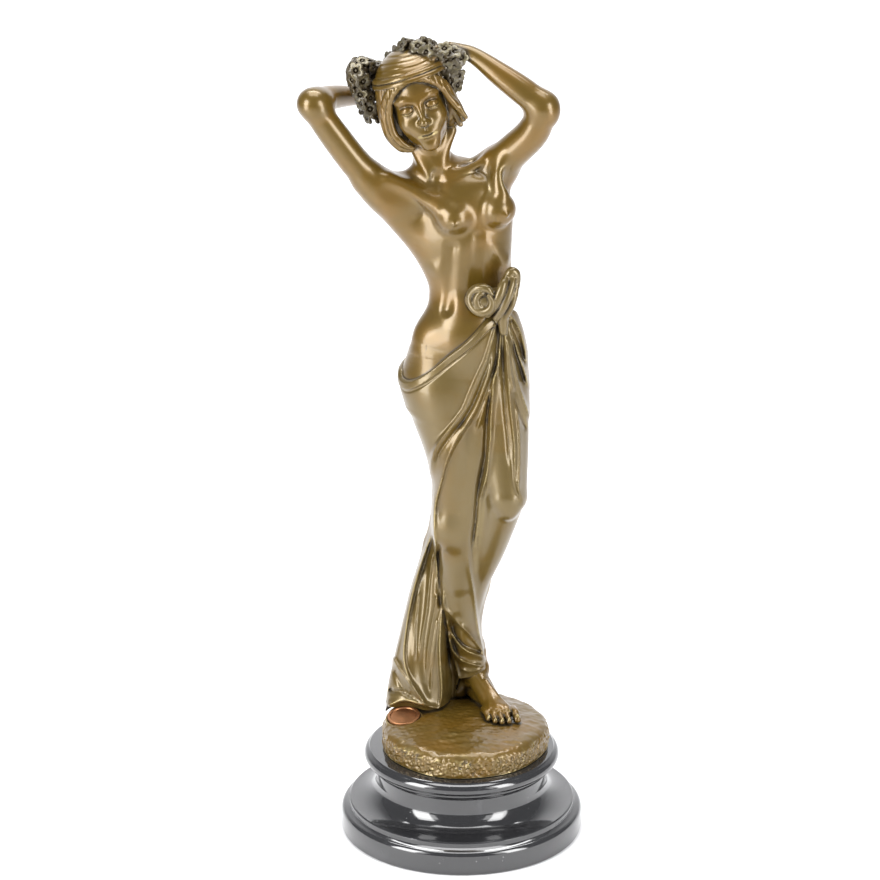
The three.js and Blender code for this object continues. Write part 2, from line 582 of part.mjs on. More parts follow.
function clothForm(x, y, z, body) {
  const seen = z + (y - VIEW_DEPTH) * VIEW_SLOPE;
  const angle = Math.atan2(y - HIP_AXIS[1], x - HIP_AXIS[0]) * 180 / Math.PI;
  const above = z - clothEdge(angle, 0);
  let d = blend(blend(body, lap(x, y, z), 5), backCloth(x, y, z), 8);
  d = blend(d, tail(x, y, z), 5) - CLOTH_THICKNESS;
  if (Math.abs(d) < 6) {
    const front = 1 - smoothstep(y, 12, 20);
    const low = 1 - smoothstep(z, 120, 165);
    d -= sumOf(frontFolds, x, seen) * front * (1 - low);
    d -= sumOf(shinFolds, x, seen) * (1 - smoothstep(y, 26, 32));
    d -= sumOf(tailFolds, x, seen) * low * (1 - smoothstep(y, 24, 34));
    d -= sumOf(backFolds, x, z) * smoothstep(y, 24, 30);
  }
  d = common(d, above, 1.2);
  d = common(d, hemLevel(x, y) - z, 1);
  const edgeRoll = (Math.hypot((body - 0.6) / 1.7, (above + 2) * 0.85 / 3.6) - 1) * 1.7;
  d = blend(d, edgeRoll, 0.8);
  d = blend(d, knotRoll(x, y, z), 2.5);
  d = blend(d, knotFall(x, y, z), 3);
  for (const twist of knotTwists) d = blend(d, twist(x, y, z), 1.2);
  return blend(d, knotLoop(x, y, z), 1.5);
}

// The hem is above the right ankle, and down on the ground everywhere else
function hemLevel(x, y) {
  const atAnkle = smoothstep(x, -5, -1) * (1 - smoothstep(y, 30, 37));
  return lerp(48, 72 + 0.35 * Math.max(x, 0), atAnkle);
}

// The right foot, bare on the ground
const ankle = chain([[6.8, 27.5, 84, 6.4], [7, 28, 74, 6.2], [3.5, 33, 65.5, 5.8]]);
const instep = chain([[7.5, 25, 72.5, 5.6], [13, 13.5, 67, 5.4], [18, 2.5, 62.6, 4.6]]);
const sole = chain([[3.5, 33, 63.5, 5], [13.5, 16, 62.3, 4.6], [22, 1.5, 62, 4]]);
const ballOfFoot = egg([18.4, 1.2, 62.2], [7.8, 6.4, 3.9], [0, 0, -24]);
const toes = [0, 1, 2, 3, 4].map((i) => {
  const size = i === 4 ? 2.5 : 1.75;
  const x = 13.6 + 3.65 * i + (i === 4 ? 0.8 : 0);
  const y = -4.3 - 3.7 * Math.sin(i * 0.75);
  return chain([[x - 2.4, y + 8, 62.6, size], [x - 0.6, y + 2, 62.4, size * 0.95], [x, y - 1.4, 60.9, size]]);
});

function footForm(x, y, z) {
  let d = blend(ankle(x, y, z), instep(x, y, z), 4);
  d = blend(d, sole(x, y, z), 3);
  d = blend(d, ballOfFoot(x, y, z), 3);
  for (const toe of toes) d = blend(d, toe(x, y, z), 0.7);
  return d;
}

function figureForm(x, y, z) {
  if (z > 362) {
    const upper = Math.min(armsForm(x, y, z), blend(placedHead(x, y, z), neck(x, y, z), 2));
    return blend(upper, garlandForm(x, y, z), 0.6);
  }
  if (z > 316) {
    let d = blend(trunkForm(x, y, z), armsForm(x, y, z), 4);
    d = blend(d, placedHead(x, y, z), 1.5);
    return d;
  }
  const nude = z > 212 ? trunkForm(x, y, z) : Infinity;
  const body = blend(nude, legsForm(x, y, z), 6);
  const dressed = Math.min(body, clothForm(x, y, z, body));
  return z < 100 ? Math.min(dressed, footForm(x, y, z)) : dressed;
}

// The seal lies on a small flat seat near the edge of the ground
const sealCentre = new THREE.Vector3(
  GROUND_OFFSET + SEAL_REACH * Math.cos(degToRad(SEAL_SIDE)),
  SEAL_REACH * Math.sin(degToRad(SEAL_SIDE)),
  groundLevel + GROUND_EDGE_HEIGHT + 0.5 * (GROUND_CROWN_HEIGHT - GROUND_EDGE_HEIGHT),
);
const sealTurns = new THREE.Euler(degToRad(SEAL_TILT), degToRad(SEAL_LEAN), 0);
const sealAxis = new THREE.Vector3(0, 0, 1).applyEuler(sealTurns);

function sealSeat(x, y, z) {
  const px = x - sealCentre.x;
  const py = y - sealCentre.y;
  const pz = z - sealCentre.z;
  const height = px * sealAxis.x + py * sealAxis.y + pz * sealAxis.z;
  const reach = Math.sqrt(Math.max(px * px + py * py + pz * pz - height * height, 0));
  const side = reach - SEAL_DIAMETER / 2 - SEAT_MARGIN;
  return common(side, Math.max(height - SEAL_SINK, -height - 6), 0.6);
}

// The ground: a low round rock with a broken band round its side and swept tool marks on top
function groundForm(x, y, z) {
  const px = x - GROUND_OFFSET;
  const radius = Math.hypot(px, y);
  const angle = Math.atan2(y, px);
  const wave = 0.5 * Math.sin(3 * angle + 0.6) + 0.35 * Math.sin(7 * angle + 2);
  const edge = groundLevel + GROUND_EDGE_HEIGHT;
  const rise = (GROUND_CROWN_HEIGHT - GROUND_EDGE_HEIGHT) * (1 - Math.min(radius / GROUND_RADIUS, 1) ** 2.4);
  const side = radius - GROUND_RADIUS - wave;
  const broken = 0.55 * Math.sin(13 * angle + z * 1.1) * Math.sin(z * 0.9 + 5 * angle);
  const band = smoothstep(z, BASE_HEIGHT + 1, BASE_HEIGHT + 4) * (1 - smoothstep(z, edge - 4, edge - 1));
  const swept = 0.35 * Math.sin(0.5 * x + 0.32 * y + 2.5 * Math.sin(0.11 * y)) * smoothstep(radius, 10, 25);
  const rock = common(side - broken * band, z - edge - rise - swept, GROUND_ROUNDING);
  return Math.max(blend(rock, sealSeat(x, y, z), 1), groundLevel - 1 - z);
}

function bronzeForm(x, y, z) {
  const figure = figureForm(x / share, y / share, (z - soleLevel) / share + TABLE_SOLE) * share;
  if (z > soleLevel + 12) return figure;
  return blend(figure, groundForm(x, y, z), 1.6);
}

// Turns a distance function into a closed mesh: each cell of a grid is cut into six tetrahedra
const TETRAHEDRA = [[0, 1, 3, 7], [0, 3, 2, 7], [0, 2, 6, 7], [0, 6, 4, 7], [0, 4, 5, 7], [0, 5, 1, 7]];

function polygonise(form, low, high, cell) {
  const count = [0, 1, 2].map((i) => Math.ceil((high[i] - low[i]) / cell) + 1);
  const [nx, ny, nz] = count;
  const values = new Float32Array(nx * ny * nz).fill(cell);
  const index = (i, j, k) => i + nx * (j + ny * k);
  const block = 6;
  const blockReach = block * cell * Math.sqrt(3) / 2 + 5;
  const live = [];
  for (let bk = 0; bk < nz; bk += block) {
    for (let bj = 0; bj < ny; bj += block) {
      for (let bi = 0; bi < nx; bi += block) {
        const middle = [bi, bj, bk].map((b, axis) => low[axis] + (b + block / 2) * cell);
        const distance = form(...middle);
        const isLive = Math.abs(distance) < blockReach;
        if (isLive) live.push([bi, bj, bk]);
        for (let k = bk; k < Math.min(bk + block, nz); k++) {
          for (let j = bj; j < Math.min(bj + block, ny); j++) {
            for (let i = bi; i < Math.min(bi + block, nx); i++) {
              values[index(i, j, k)] = isLive
                ? form(low[0] + i * cell, low[1] + j * cell, low[2] + k * cell) : distance;
            }
          }
        }
      }
    }
  }
  const positions = [];
  const triangles = [];
  const made = new Map();
  const cornerOffset = [];
  for (let c = 0; c < 8; c++) cornerOffset.push(index(c & 1, (c >> 1) & 1, c >> 2));
  const cutPoint = (a, b) => {
    const [from, to] = a < b ? [a, b] : [b, a];
    const key = from * 67108864 + to;
    if (made.has(key)) return made.get(key);
    const t = clamp(values[from] / (values[from] - values[to]), 0.06, 0.94);
    const place = [from, to].map((at) => [at % nx, Math.floor(at / nx) % ny, Math.floor(at / (nx * ny))]);
    for (let axis = 0; axis < 3; axis++) {
      positions.push(low[axis] + lerp(place[0][axis], place[1][axis], t) * cell);
    }
    const id = positions.length / 3 - 1;
    made.set(key, id);
    return id;
  };
  const handleTetrahedron = (corners) => {
    const inside = corners.filter((at) => values[at] < 0);
    if (inside.length === 0 || inside.length === 4) return;
    const outside = corners.filter((at) => values[at] >= 0);
    if (inside.length === 1) {
      addOutward(outside.map((at) => cutPoint(inside[0], at)), inside, outside);
    } else if (inside.length === 3) {
      addOutward(inside.map((at) => cutPoint(at, outside[0])), inside, outside);
    } else {
      const a = cutPoint(inside[0], outside[0]);
      const b = cutPoint(inside[0], outside[1]);
      const c = cutPoint(inside[1], outside[1]);
      const d = cutPoint(inside[1], outside[0]);
      addOutward([a, b, c], inside, outside);
      addOutward([a, c, d], inside, outside);
    }
  };
  const centreOf = (ats, axis) => {
    const coordinate = (at) => [at % nx, Math.floor(at / nx) % ny, Math.floor(at / (nx * ny))][axis];
    return ats.reduce((sum, at) => sum + coordinate(at), 0) / ats.length;
  };
  const addOutward = ([a, b, c], inside, outside) => {
    const p = (id, axis) => positions[3 * id + axis];
    const u = [0, 1, 2].map((axis) => p(b, axis) - p(a, axis));
    const v = [0, 1, 2].map((axis) => p(c, axis) - p(a, axis));
    const normal = [u[1] * v[2] - u[2] * v[1], u[2] * v[0] - u[0] * v[2], u[0] * v[1] - u[1] * v[0]];
    const outward = [0, 1, 2].reduce((sum, axis) => (
      sum + normal[axis] * (centreOf(outside, axis) - centreOf(inside, axis))
    ), 0);
    if (outward > 0) triangles.push(a, b, c);
    else triangles.push(a, c, b);
  };
  for (const [bi, bj, bk] of live) {
    for (let k = bk; k < Math.min(bk + block, nz - 1); k++) {
      for (let j = bj; j < Math.min(bj + block, ny - 1); j++) {
        for (let i = bi; i < Math.min(bi + block, nx - 1); i++) {
          const base = index(i, j, k);
          const corners = cornerOffset.map((offset) => base + offset);
          const signs = corners.filter((at) => values[at] < 0).length;
          if (signs === 0 || signs === 8) continue;
          for (const tetrahedron of TETRAHEDRA) handleTetrahedron(tetrahedron.map((c) => corners[c]));
        }
      }
    }
  }
  return { positions: Float64Array.from(positions), triangles: Uint32Array.from(triangles) };
}

// Collapses the edges that matter least, by their quadric error, down to a number of triangles
function simplify({ positions, triangles }, budget) {
  const vertexCount = positions.length / 3;
  const quadrics = new Float64Array(vertexCount * 10);
  const around = Array.from({ length: vertexCount }, () => new Set());
  const stamps = new Uint32Array(vertexCount);
  const corner = (triangle, i) => triangles[3 * triangle + i];
  const spot = (vertex) => [positions[3 * vertex], positions[3 * vertex + 1], positions[3 * vertex + 2]];

  const crossOf = (a, b, c) => {
    const ux = b[0] - a[0];
    const uy = b[1] - a[1];
    const uz = b[2] - a[2];
    const vx = c[0] - a[0];
    const vy = c[1] - a[1];
    const vz = c[2] - a[2];
    return [uy * vz - uz * vy, uz * vx - ux * vz, ux * vy - uy * vx];
  };

  for (let triangle = 0; triangle < triangles.length / 3; triangle++) {
    const corners = [0, 1, 2].map((i) => corner(triangle, i));
    const cross = crossOf(...corners.map(spot));
    const size = Math.hypot(...cross);
    for (const vertex of corners) around[vertex].add(triangle);
    if (size < 1e-12) continue;
    const [nx, ny, nz] = cross.map((value) => value / size);
    const a = spot(corners[0]);
    const offset = -(nx * a[0] + ny * a[1] + nz * a[2]);
    const plane = [nx, ny, nz, offset];
    const weight = size / 6;
    for (const vertex of corners) {
      let slot = vertex * 10;
      for (let i = 0; i < 4; i++) {
        for (let j = i; j < 4; j++) quadrics[slot++] += weight * plane[i] * plane[j];
      }
    }
  }

  const summed = new Float64Array(10);
  const errorAt = (q, x, y, z) => (
    q[0] * x * x + 2 * q[1] * x * y + 2 * q[2] * x * z + 2 * q[3] * x
    + q[4] * y * y + 2 * q[5] * y * z + 2 * q[6] * y + q[7] * z * z + 2 * q[8] * z + q[9]
  );
  const bestPlace = (a, b) => {
    for (let i = 0; i < 10; i++) summed[i] = quadrics[a * 10 + i] + quadrics[b * 10 + i];
    const q = summed;
    const from = spot(a);
    const to = spot(b);
    const length = Math.hypot(to[0] - from[0], to[1] - from[1], to[2] - from[2]);
    const middle = [(from[0] + to[0]) / 2, (from[1] + to[1]) / 2, (from[2] + to[2]) / 2];
    const c00 = q[4] * q[7] - q[5] * q[5];
    const c01 = q[2] * q[5] - q[1] * q[7];
    const c02 = q[1] * q[5] - q[2] * q[4];
    const determinant = q[0] * c00 + q[1] * c01 + q[2] * c02;
    const scale = (q[0] + q[4] + q[7]) ** 3;
    const options = [middle, from, to];
    if (Math.abs(determinant) > 1e-4 * scale) {
      const c11 = q[0] * q[7] - q[2] * q[2];
      const c12 = q[1] * q[2] - q[0] * q[5];
      const c22 = q[0] * q[4] - q[1] * q[1];
      const x = -(c00 * q[3] + c01 * q[6] + c02 * q[8]) / determinant;
      const y = -(c01 * q[3] + c11 * q[6] + c12 * q[8]) / determinant;
      const z = -(c02 * q[3] + c12 * q[6] + c22 * q[8]) / determinant;
      if (Math.hypot(x - middle[0], y - middle[1], z - middle[2]) < 1.5 * length) options.push([x, y, z]);
    }
    let best = null;
    for (const place of options) {
      const error = Math.max(errorAt(q, ...place), 0) + 1e-4 * length * length;
      if (best === null || error < best.error) best = { place, error };
    }
    return best;
  };

  const heap = [];
  const swap = (i, j) => {
    [heap[i], heap[j]] = [heap[j], heap[i]];
  };
  const push = (item) => {
    heap.push(item);
    let i = heap.length - 1;
    while (i > 0 && heap[(i - 1) >> 1].error > heap[i].error) {
      swap(i, (i - 1) >> 1);
      i = (i - 1) >> 1;
    }
  };
  const pop = () => {
    const top = heap[0];
    const last = heap.pop();
    if (heap.length === 0) return top;
    heap[0] = last;
    let i = 0;
    for (;;) {
      const left = 2 * i + 1;
      const right = left + 1;
      let least = i;
      if (left < heap.length && heap[left].error < heap[least].error) least = left;
      if (right < heap.length && heap[right].error < heap[least].error) least = right;
      if (least === i) return top;
      swap(i, least);
      i = least;
    }
  };
  const offer = (a, b) => {
    const { place, error } = bestPlace(a, b);
    push({ error, place, a, b, tries: 0, stampA: stamps[a], stampB: stamps[b] });
  };

  const neighboursOf = (vertex) => {
    const found = new Set();
    for (const triangle of around[vertex]) {
      for (let i = 0; i < 3; i++) found.add(corner(triangle, i));
    }
    found.delete(vertex);
    return found;
  };
  const stretch = ([a, b, c]) => Math.max(
    (b[0] - a[0]) ** 2 + (b[1] - a[1]) ** 2 + (b[2] - a[2]) ** 2,
    (c[0] - b[0]) ** 2 + (c[1] - b[1]) ** 2 + (c[2] - b[2]) ** 2,
    (a[0] - c[0]) ** 2 + (a[1] - c[1]) ** 2 + (a[2] - c[2]) ** 2,
  );
  const staysUpright = (vertex, other, place) => {
    for (const triangle of around[vertex]) {
      const corners = [0, 1, 2].map((i) => corner(triangle, i));
      if (corners.includes(other)) continue;
      const spotsBefore = corners.map(spot);
      const spotsAfter = corners.map((at) => (at === vertex ? place : spot(at)));
      const before = crossOf(...spotsBefore);
      const after = crossOf(...spotsAfter);
      const sizeBefore = Math.hypot(...before);
      const sizeAfter = Math.hypot(...after);
      const dot = before[0] * after[0] + before[1] * after[1] + before[2] * after[2];
      if (sizeBefore > 1e-6 && dot <= 0.2 * sizeBefore * sizeAfter) return false;
      const shapeBefore = sizeBefore / stretch(spotsBefore);
      if (sizeAfter / stretch(spotsAfter) < Math.min(0.08, 0.9 * shapeBefore)) return false;
    }
    return true;
  };

  for (let triangle = 0; triangle < triangles.length / 3; triangle++) {
    for (let i = 0; i < 3; i++) {
      const a = corner(triangle, i);
      const b = corner(triangle, (i + 1) % 3);
      if (a < b) offer(a, b);
    }
  }
  let left = triangles.length / 3;
  while (left > budget && heap.length > 0) {
    const edge = pop();
    const { a, b, place } = edge;
    if (stamps[a] !== edge.stampA || stamps[b] !== edge.stampB) continue;
    const nearA = neighboursOf(a);
    const nearB = neighboursOf(b);
    const shared = [...nearA].filter((vertex) => nearB.has(vertex));
    if (shared.length !== 2 || !staysUpright(a, b, place) || !staysUpright(b, a, place)) {
      if (edge.tries < RETRIES) push({ ...edge, error: edge.error * 2.5 + 1e-3, tries: edge.tries + 1 });
      continue;
    }
    for (const triangle of around[b]) {
      if (around[a].has(triangle)) {
        for (let i = 0; i < 3; i++) {
          if (corner(triangle, i) !== b) around[corner(triangle, i)].delete(triangle);
        }
        triangles[3 * triangle] = triangles[3 * triangle + 1];
        left--;
      } else {
        for (let i = 0; i < 3; i++) {
          if (corner(triangle, i) === b) triangles[3 * triangle + i] = a;
        }
        around[a].add(triangle);
      }
    }
    around[b].clear();
    positions.set(place, 3 * a);
    for (let i = 0; i < 10; i++) quadrics[a * 10 + i] += quadrics[b * 10 + i];
    stamps[a]++;
    stamps[b]++;
    for (const vertex of neighboursOf(a)) offer(a, vertex);
  }

  const renumbered = new Map();
  const keptPositions = [];
  const keptTriangles = [];
  const kept = new Set(around.flatMap((set) => [...set]));
  for (const triangle of kept) {
    for (let i = 0; i < 3; i++) {
      const vertex = corner(triangle, i);
      if (!renumbered.has(vertex)) {
        renumbered.set(vertex, keptPositions.length / 3);
        keptPositions.push(...spot(vertex));
      }
      keptTriangles.push(renumbered.get(vertex));
    }
  }
  return { positions: keptPositions, triangles: keptTriangles };
}

// Closed meshes as solids for cutting, and back
const wasm = await Module();
wasm.setup();

function toSolid(geometry) {
  const bare = geometry.clone();
  bare.deleteAttribute('normal');
  bare.deleteAttribute('uv');
  const merged = mergeVertices(bare, 1e-4);
  return new wasm.Manifold(new wasm.Mesh({
    numProp: 3,
    vertProperties: new Float32Array(merged.attributes.position.array),
    triVerts: new Uint32Array(merged.index.array),
  }));
}

function toGeometry(solid) {
  const mesh = solid.getMesh();
  const geometry = new THREE.BufferGeometry();
  geometry.setAttribute('position', new THREE.BufferAttribute(mesh.vertProperties, 3));
  geometry.setIndex(new THREE.BufferAttribute(mesh.triVerts, 1));
  geometry.computeVertexNormals();
  return geometry;
}

// A turned form: profile points of radius and height, spun round +Z
function turned(profile, sides) {
  const geometry = new THREE.LatheGeometry(profile.map(([radius, height]) => new THREE.Vector2(radius, height)), sides);
  return geometry.rotateX(Math.PI / 2);
}

function arc(centreRadius, centreHeight, reachOut, reachUp, fromAngle, toAngle, steps) {
  const points = [];
  for (let i = 0; i <= steps; i++) {
    const angle = degToRad(lerp(fromAngle, toAngle, i / steps));
    points.push([centreRadius + reachOut * Math.cos(angle), centreHeight + reachUp * Math.sin(angle)]);
  }
  return points;
}

// The turned marble base: foot band, bead, hollow sweep, neck and a rounded rim
function marbleBase() {
  const beadLow = FOOT_BAND + FOOT_ROUNDING + EDGE_CHAMFER;
  const beadHigh = beadLow + BEAD_HEIGHT;
  const rimMiddle = BASE_HEIGHT - RIM_ROUNDING - 0.6;
  const rimCentre = RIM_RADIUS - RIM_ROUNDING;
  const profile = [
    [0, 0],
    [BASE_RADIUS - EDGE_CHAMFER, 0],
    [BASE_RADIUS, EDGE_CHAMFER],
    ...arc(BASE_RADIUS - FOOT_ROUNDING, FOOT_BAND, FOOT_ROUNDING, FOOT_ROUNDING, 0, 75, 2),
    [BEAD_RADIUS, beadLow],
    [BEAD_RADIUS, beadHigh - 0.8],
    ...arc(BEAD_RADIUS - 0.8, NECK_LOW, NECK_RADIUS - BEAD_RADIUS + 0.8, beadHigh - NECK_LOW, 90, 0, 5),
    [NECK_RADIUS, NECK_HIGH],
    ...arc(NECK_RADIUS, rimMiddle - RIM_ROUNDING, rimCentre - NECK_RADIUS, rimMiddle - RIM_ROUNDING - NECK_HIGH, -90, 0, 3)
      .slice(1),
    ...arc(rimCentre, rimMiddle, RIM_ROUNDING, RIM_ROUNDING, -60, 70, 4),
    [rimCentre + 0.6, BASE_HEIGHT],
    [0, BASE_HEIGHT],
  ];
  return turned(profile, BASE_SIDES);
}

// The seal: a plain coin with a raised rim
function sealDisc() {
  const radius = SEAL_DIAMETER / 2;
  const field = SEAL_THICKNESS - 0.5;
  return turned([
    [0, 0],
    [radius, 0],
    [radius, SEAL_THICKNESS - 0.3],
    [radius - 0.3, SEAL_THICKNESS],
    [radius - SEAL_RIM, SEAL_THICKNESS],
    [radius - SEAL_RIM - 0.4, field],
    [0, field],
  ], SEAL_SIDES);
}

// The bronze casting, cut flat where it stands on the marble and let in for the seal
function bronzeCasting() {
  const groundReach = GROUND_RADIUS + 2 * CELL + 1;
  const low = [
    Math.min(share * TABLE_LOW[0], GROUND_OFFSET - groundReach),
    Math.min(share * TABLE_LOW[1], -groundReach),
    groundLevel - 1.5 * CELL,
  ];
  const high = [
    Math.max(share * TABLE_HIGH[0], GROUND_OFFSET + groundReach),
    Math.max(share * TABLE_HIGH[1], groundReach),
    soleLevel + share * (TABLE_HIGH[2] - TABLE_SOLE),
  ];
  const faceted = simplify(polygonise(bronzeForm, low, high, CELL), TRIANGLE_BUDGET);
  const geometry = new THREE.BufferGeometry();
  geometry.setAttribute('position', new THREE.Float32BufferAttribute(faceted.positions, 3));
  geometry.setIndex(faceted.triangles);
  const wide = 4 * GROUND_RADIUS;
  const under = new THREE.BoxGeometry(wide, wide, 10).translate(0, 0, groundLevel - 5);
  const seatRadius = SEAL_DIAMETER / 2 + CLEARANCE;
  const seatDepth = 2 * SEAL_THICKNESS;
  const seat = new THREE.CylinderGeometry(seatRadius, seatRadius, seatDepth, SEAL_SIDES)
    .rotateX(Math.PI / 2)
    .translate(0, 0, seatDepth / 2 - CLEARANCE)
    .applyQuaternion(new THREE.Quaternion().setFromEuler(sealTurns))
    .translate(...sealCentre.toArray());
  return toGeometry(toSolid(geometry).subtract(toSolid(under)).subtract(toSolid(seat)));
}

const bronze = new THREE.MeshStandardMaterial({ color: 0x8a6a2c, roughness: 0.32, metalness: 1 });
const marble = new THREE.MeshStandardMaterial({ color: 0x1b1b1d, roughness: 0.12, metalness: 0 });
const copper = new THREE.MeshStandardMaterial({ color: 0xa8674a, roughness: 0.4, metalness: 1 });

function piece(name, geometry, material) {
  const mesh = new THREE.Mesh(geometry, material);
  mesh.name = name;
  return mesh;
}

const figurine = new THREE.Group();
figurine.add(piece('marble_base', marbleBase(), marble));
figurine.add(piece('bronze_figure', bronzeCasting(), bronze));
const seal = piece('seal_disc', sealDisc(), copper);
seal.rotation.copy(sealTurns);
seal.position.copy(sealCentre);
figurine.add(seal);

export default figurine;
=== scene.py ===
"""Bronze girl with a flower garland, on a turned marble base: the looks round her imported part."""

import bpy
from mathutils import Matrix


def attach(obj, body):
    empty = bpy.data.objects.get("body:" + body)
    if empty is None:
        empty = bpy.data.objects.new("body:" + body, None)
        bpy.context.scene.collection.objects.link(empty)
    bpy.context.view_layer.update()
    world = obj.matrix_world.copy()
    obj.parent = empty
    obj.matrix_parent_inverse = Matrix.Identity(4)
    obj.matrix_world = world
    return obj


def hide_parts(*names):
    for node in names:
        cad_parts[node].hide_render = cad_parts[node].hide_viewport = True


bl_info = {
    "name": "Garland girl",
    "version": (1, 0, 0),
    "blender": (4, 5, 0),
    "location": "3D View > Sidebar > Garland girl",
    "description": "Builds a patinated bronze girl with her cloth, garland, ground, seal and marble base",
    "category": "Object",
}

import math

import bpy
import numpy as np
from mathutils import Matrix, Vector

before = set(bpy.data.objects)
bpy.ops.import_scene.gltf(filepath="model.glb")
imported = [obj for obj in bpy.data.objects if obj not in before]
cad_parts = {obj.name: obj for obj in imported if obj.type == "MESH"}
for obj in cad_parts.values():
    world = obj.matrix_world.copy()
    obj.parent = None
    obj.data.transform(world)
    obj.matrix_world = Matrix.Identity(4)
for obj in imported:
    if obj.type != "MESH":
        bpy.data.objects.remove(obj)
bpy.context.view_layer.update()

MM = 0.001

# The casting's measures, in millimetres
CASTING_FLOOR = 45.3
SOLE_LEVEL = 60.6
TABLE_SOLE = 60.0
GROUND_RADIUS = 43.0
GROUND_OFFSET = 1.5
GROUND_EDGE = 11.6
GROUND_CROWN = 15.3
GROUND_ROUNDING = 4.5
SEAL_RADIUS = 8.5
SEAL_GAP = 0.3
SEAT_LIP = 1.2
SEAT_RISE = 0.5
SEAT_DEPTH = 6
BAND_FOOT = 2
BAND_SHOULDER = 3

# Points further from a form than this don't feel it
NEAR = 5.0


class Patch:
    """Points where distances are wanted, with the box that holds them."""

    def __init__(self, x, y, z):
        self.x, self.y, self.z = x, y, z
        self.low = (float(x.min()), float(y.min()), float(z.min()))
        self.high = (float(x.max()), float(y.max()), float(z.max()))

    def misses(self, low, high, near=NEAR):
        """Whether a box stays further away than near from all the points."""
        total = 0.0
        for axis in range(3):
            gap = max(low[axis] - self.high[axis], self.low[axis] - high[axis], 0.0)
            total += gap * gap
        return total > near * near

    def moved(self, by):
        return Patch(self.x - by[0], self.y - by[1], self.z - by[2])

    def seen_from(self, turn, origin):
        """The same points in a frame that is turned and set at an origin."""
        px, py, pz = self.x - origin[0], self.y - origin[1], self.z - origin[2]
        return Patch(*(turn[0][i] * px + turn[1][i] * py + turn[2][i] * pz for i in range(3)))


def join(a, b, k):
    """Joins two distances with a fillet of about k."""
    if a is None or b is None:
        return b if a is None else a
    h = np.maximum(k - np.abs(a - b), 0) / k
    return np.minimum(a, b) - h * h * k * 0.25


def carve(a, b, k):
    """Takes b away from a with a rounded edge of about k."""
    if a is None or b is None:
        return a
    return -join(-a, b, k)


def common(a, b, k):
    """Keeps what is in both a and b."""
    if a is None or b is None:
        return None
    return -join(-a, -b, k)


def nearest(a, b):
    if a is None or b is None:
        return b if a is None else a
    return np.minimum(a, b)


def built(p, *steps, start=None):
    """Forms joined in turn, each step a fillet and its forms. A fillet below zero carves them away."""
    d = start
    for fillet, *forms in steps:
        for form in forms:
            d = join(d, form(p), fillet) if fillet > 0 else carve(d, form(p), -fillet)
    return d


def smooth(value, low, high):
    t = np.clip((value - low) / (high - low), 0, 1)
    return t * t * (3 - 2 * t)


def bar(start, end):
    """A round bar from one end to the other, each end as x, y, z and radius."""
    a = np.array(start, float)
    step = np.array(end, float) - a
    b = a + step
    low = np.minimum(a[:3] - a[3], b[:3] - b[3])
    high = np.maximum(a[:3] + a[3], b[:3] + b[3])
    length_squared = max(float(step[:3] @ step[:3]), 1e-9)
    taper = -step[3] / math.sqrt(max(length_squared - step[3] ** 2, 1e-9))
    if abs(taper) > 3:
        taper = 0.0

    def form(p):
        if p.misses(low, high):
            return None
        px, py, pz = p.x - a[0], p.y - a[1], p.z - a[2]
        t = (px * step[0] + py * step[1] + pz * step[2]) / length_squared
        aside = np.sqrt(np.maximum(px * px + py * py + pz * pz - t * t * length_squared, 0))
        t = np.clip(t - aside * taper / math.sqrt(length_squared), 0, 1)
        px, py, pz = px - t * step[0], py - t * step[1], pz - t * step[2]
        return np.sqrt(px * px + py * py + pz * pz) - (a[3] + t * step[3])

    return form


def curve_through(points, shares):
    """A centripetal spline through points, at shares of its number of spans."""
    points = np.array(points, float)
    last = len(points) - 1
    out = []
    for share in shares:
        place = share * last
        i = min(int(place), last - 1)
        t = place - i
        p1, p2 = points[i], points[i + 1]
        p0 = points[i - 1] if i > 0 else 2 * p1 - p2
        p3 = points[i + 2] if i + 2 <= last else 2 * p2 - p1
        d0, d1, d2 = (max(np.linalg.norm(q - p), 1e-8) ** 0.5 for p, q in ((p0, p1), (p1, p2), (p2, p3)))
        slope1 = ((p1 - p0) / d0 - (p2 - p0) / (d0 + d1) + (p2 - p1) / d1) * d1
        slope2 = ((p2 - p1) / d1 - (p3 - p1) / (d1 + d2) + (p3 - p2) / d2) * d1
        c2 = -3 * p1 + 3 * p2 - 2 * slope1 - slope2
        c3 = 2 * p1 - 2 * p2 + slope1 + slope2
        out.append(p1 + slope1 * t + c2 * t * t + c3 * t ** 3)
    return np.array(out)


def strand(points, steps=6):
    """A rounded form along a smooth curve through points of x, y, z and radius."""
    count = (len(points) - 1) * steps
    shares = [i / count for i in range(count + 1)]
    places = curve_through([point[:3] for point in points], shares)
    radii = curve_through([(i, point[3], 0) for i, point in enumerate(points)], shares)[:, 1]
    stations = [(*place, radius) for place, radius in zip(places, radii)]
    bars = [bar(a, b) for a, b in zip(stations[:-1], stations[1:])]
    low = (places - radii[:, None]).min(0)
    high = (places + radii[:, None]).max(0)

    def form(p):
        if p.misses(low, high):
            return None
        d = None
        for piece in bars:
            d = nearest(d, piece(p))
        return d

    return form


def turned_axes(turns, order="ZYX"):
    """A rotation matrix from turns about X, Y and Z in degrees, the first letter outermost."""
    by_letter = dict(zip("XYZ", turns))
    turn = Matrix.Identity(3)
    for letter in order:
        turn = turn @ Matrix.Rotation(math.radians(by_letter[letter]), 3, letter)
    return [list(row) for row in turn]


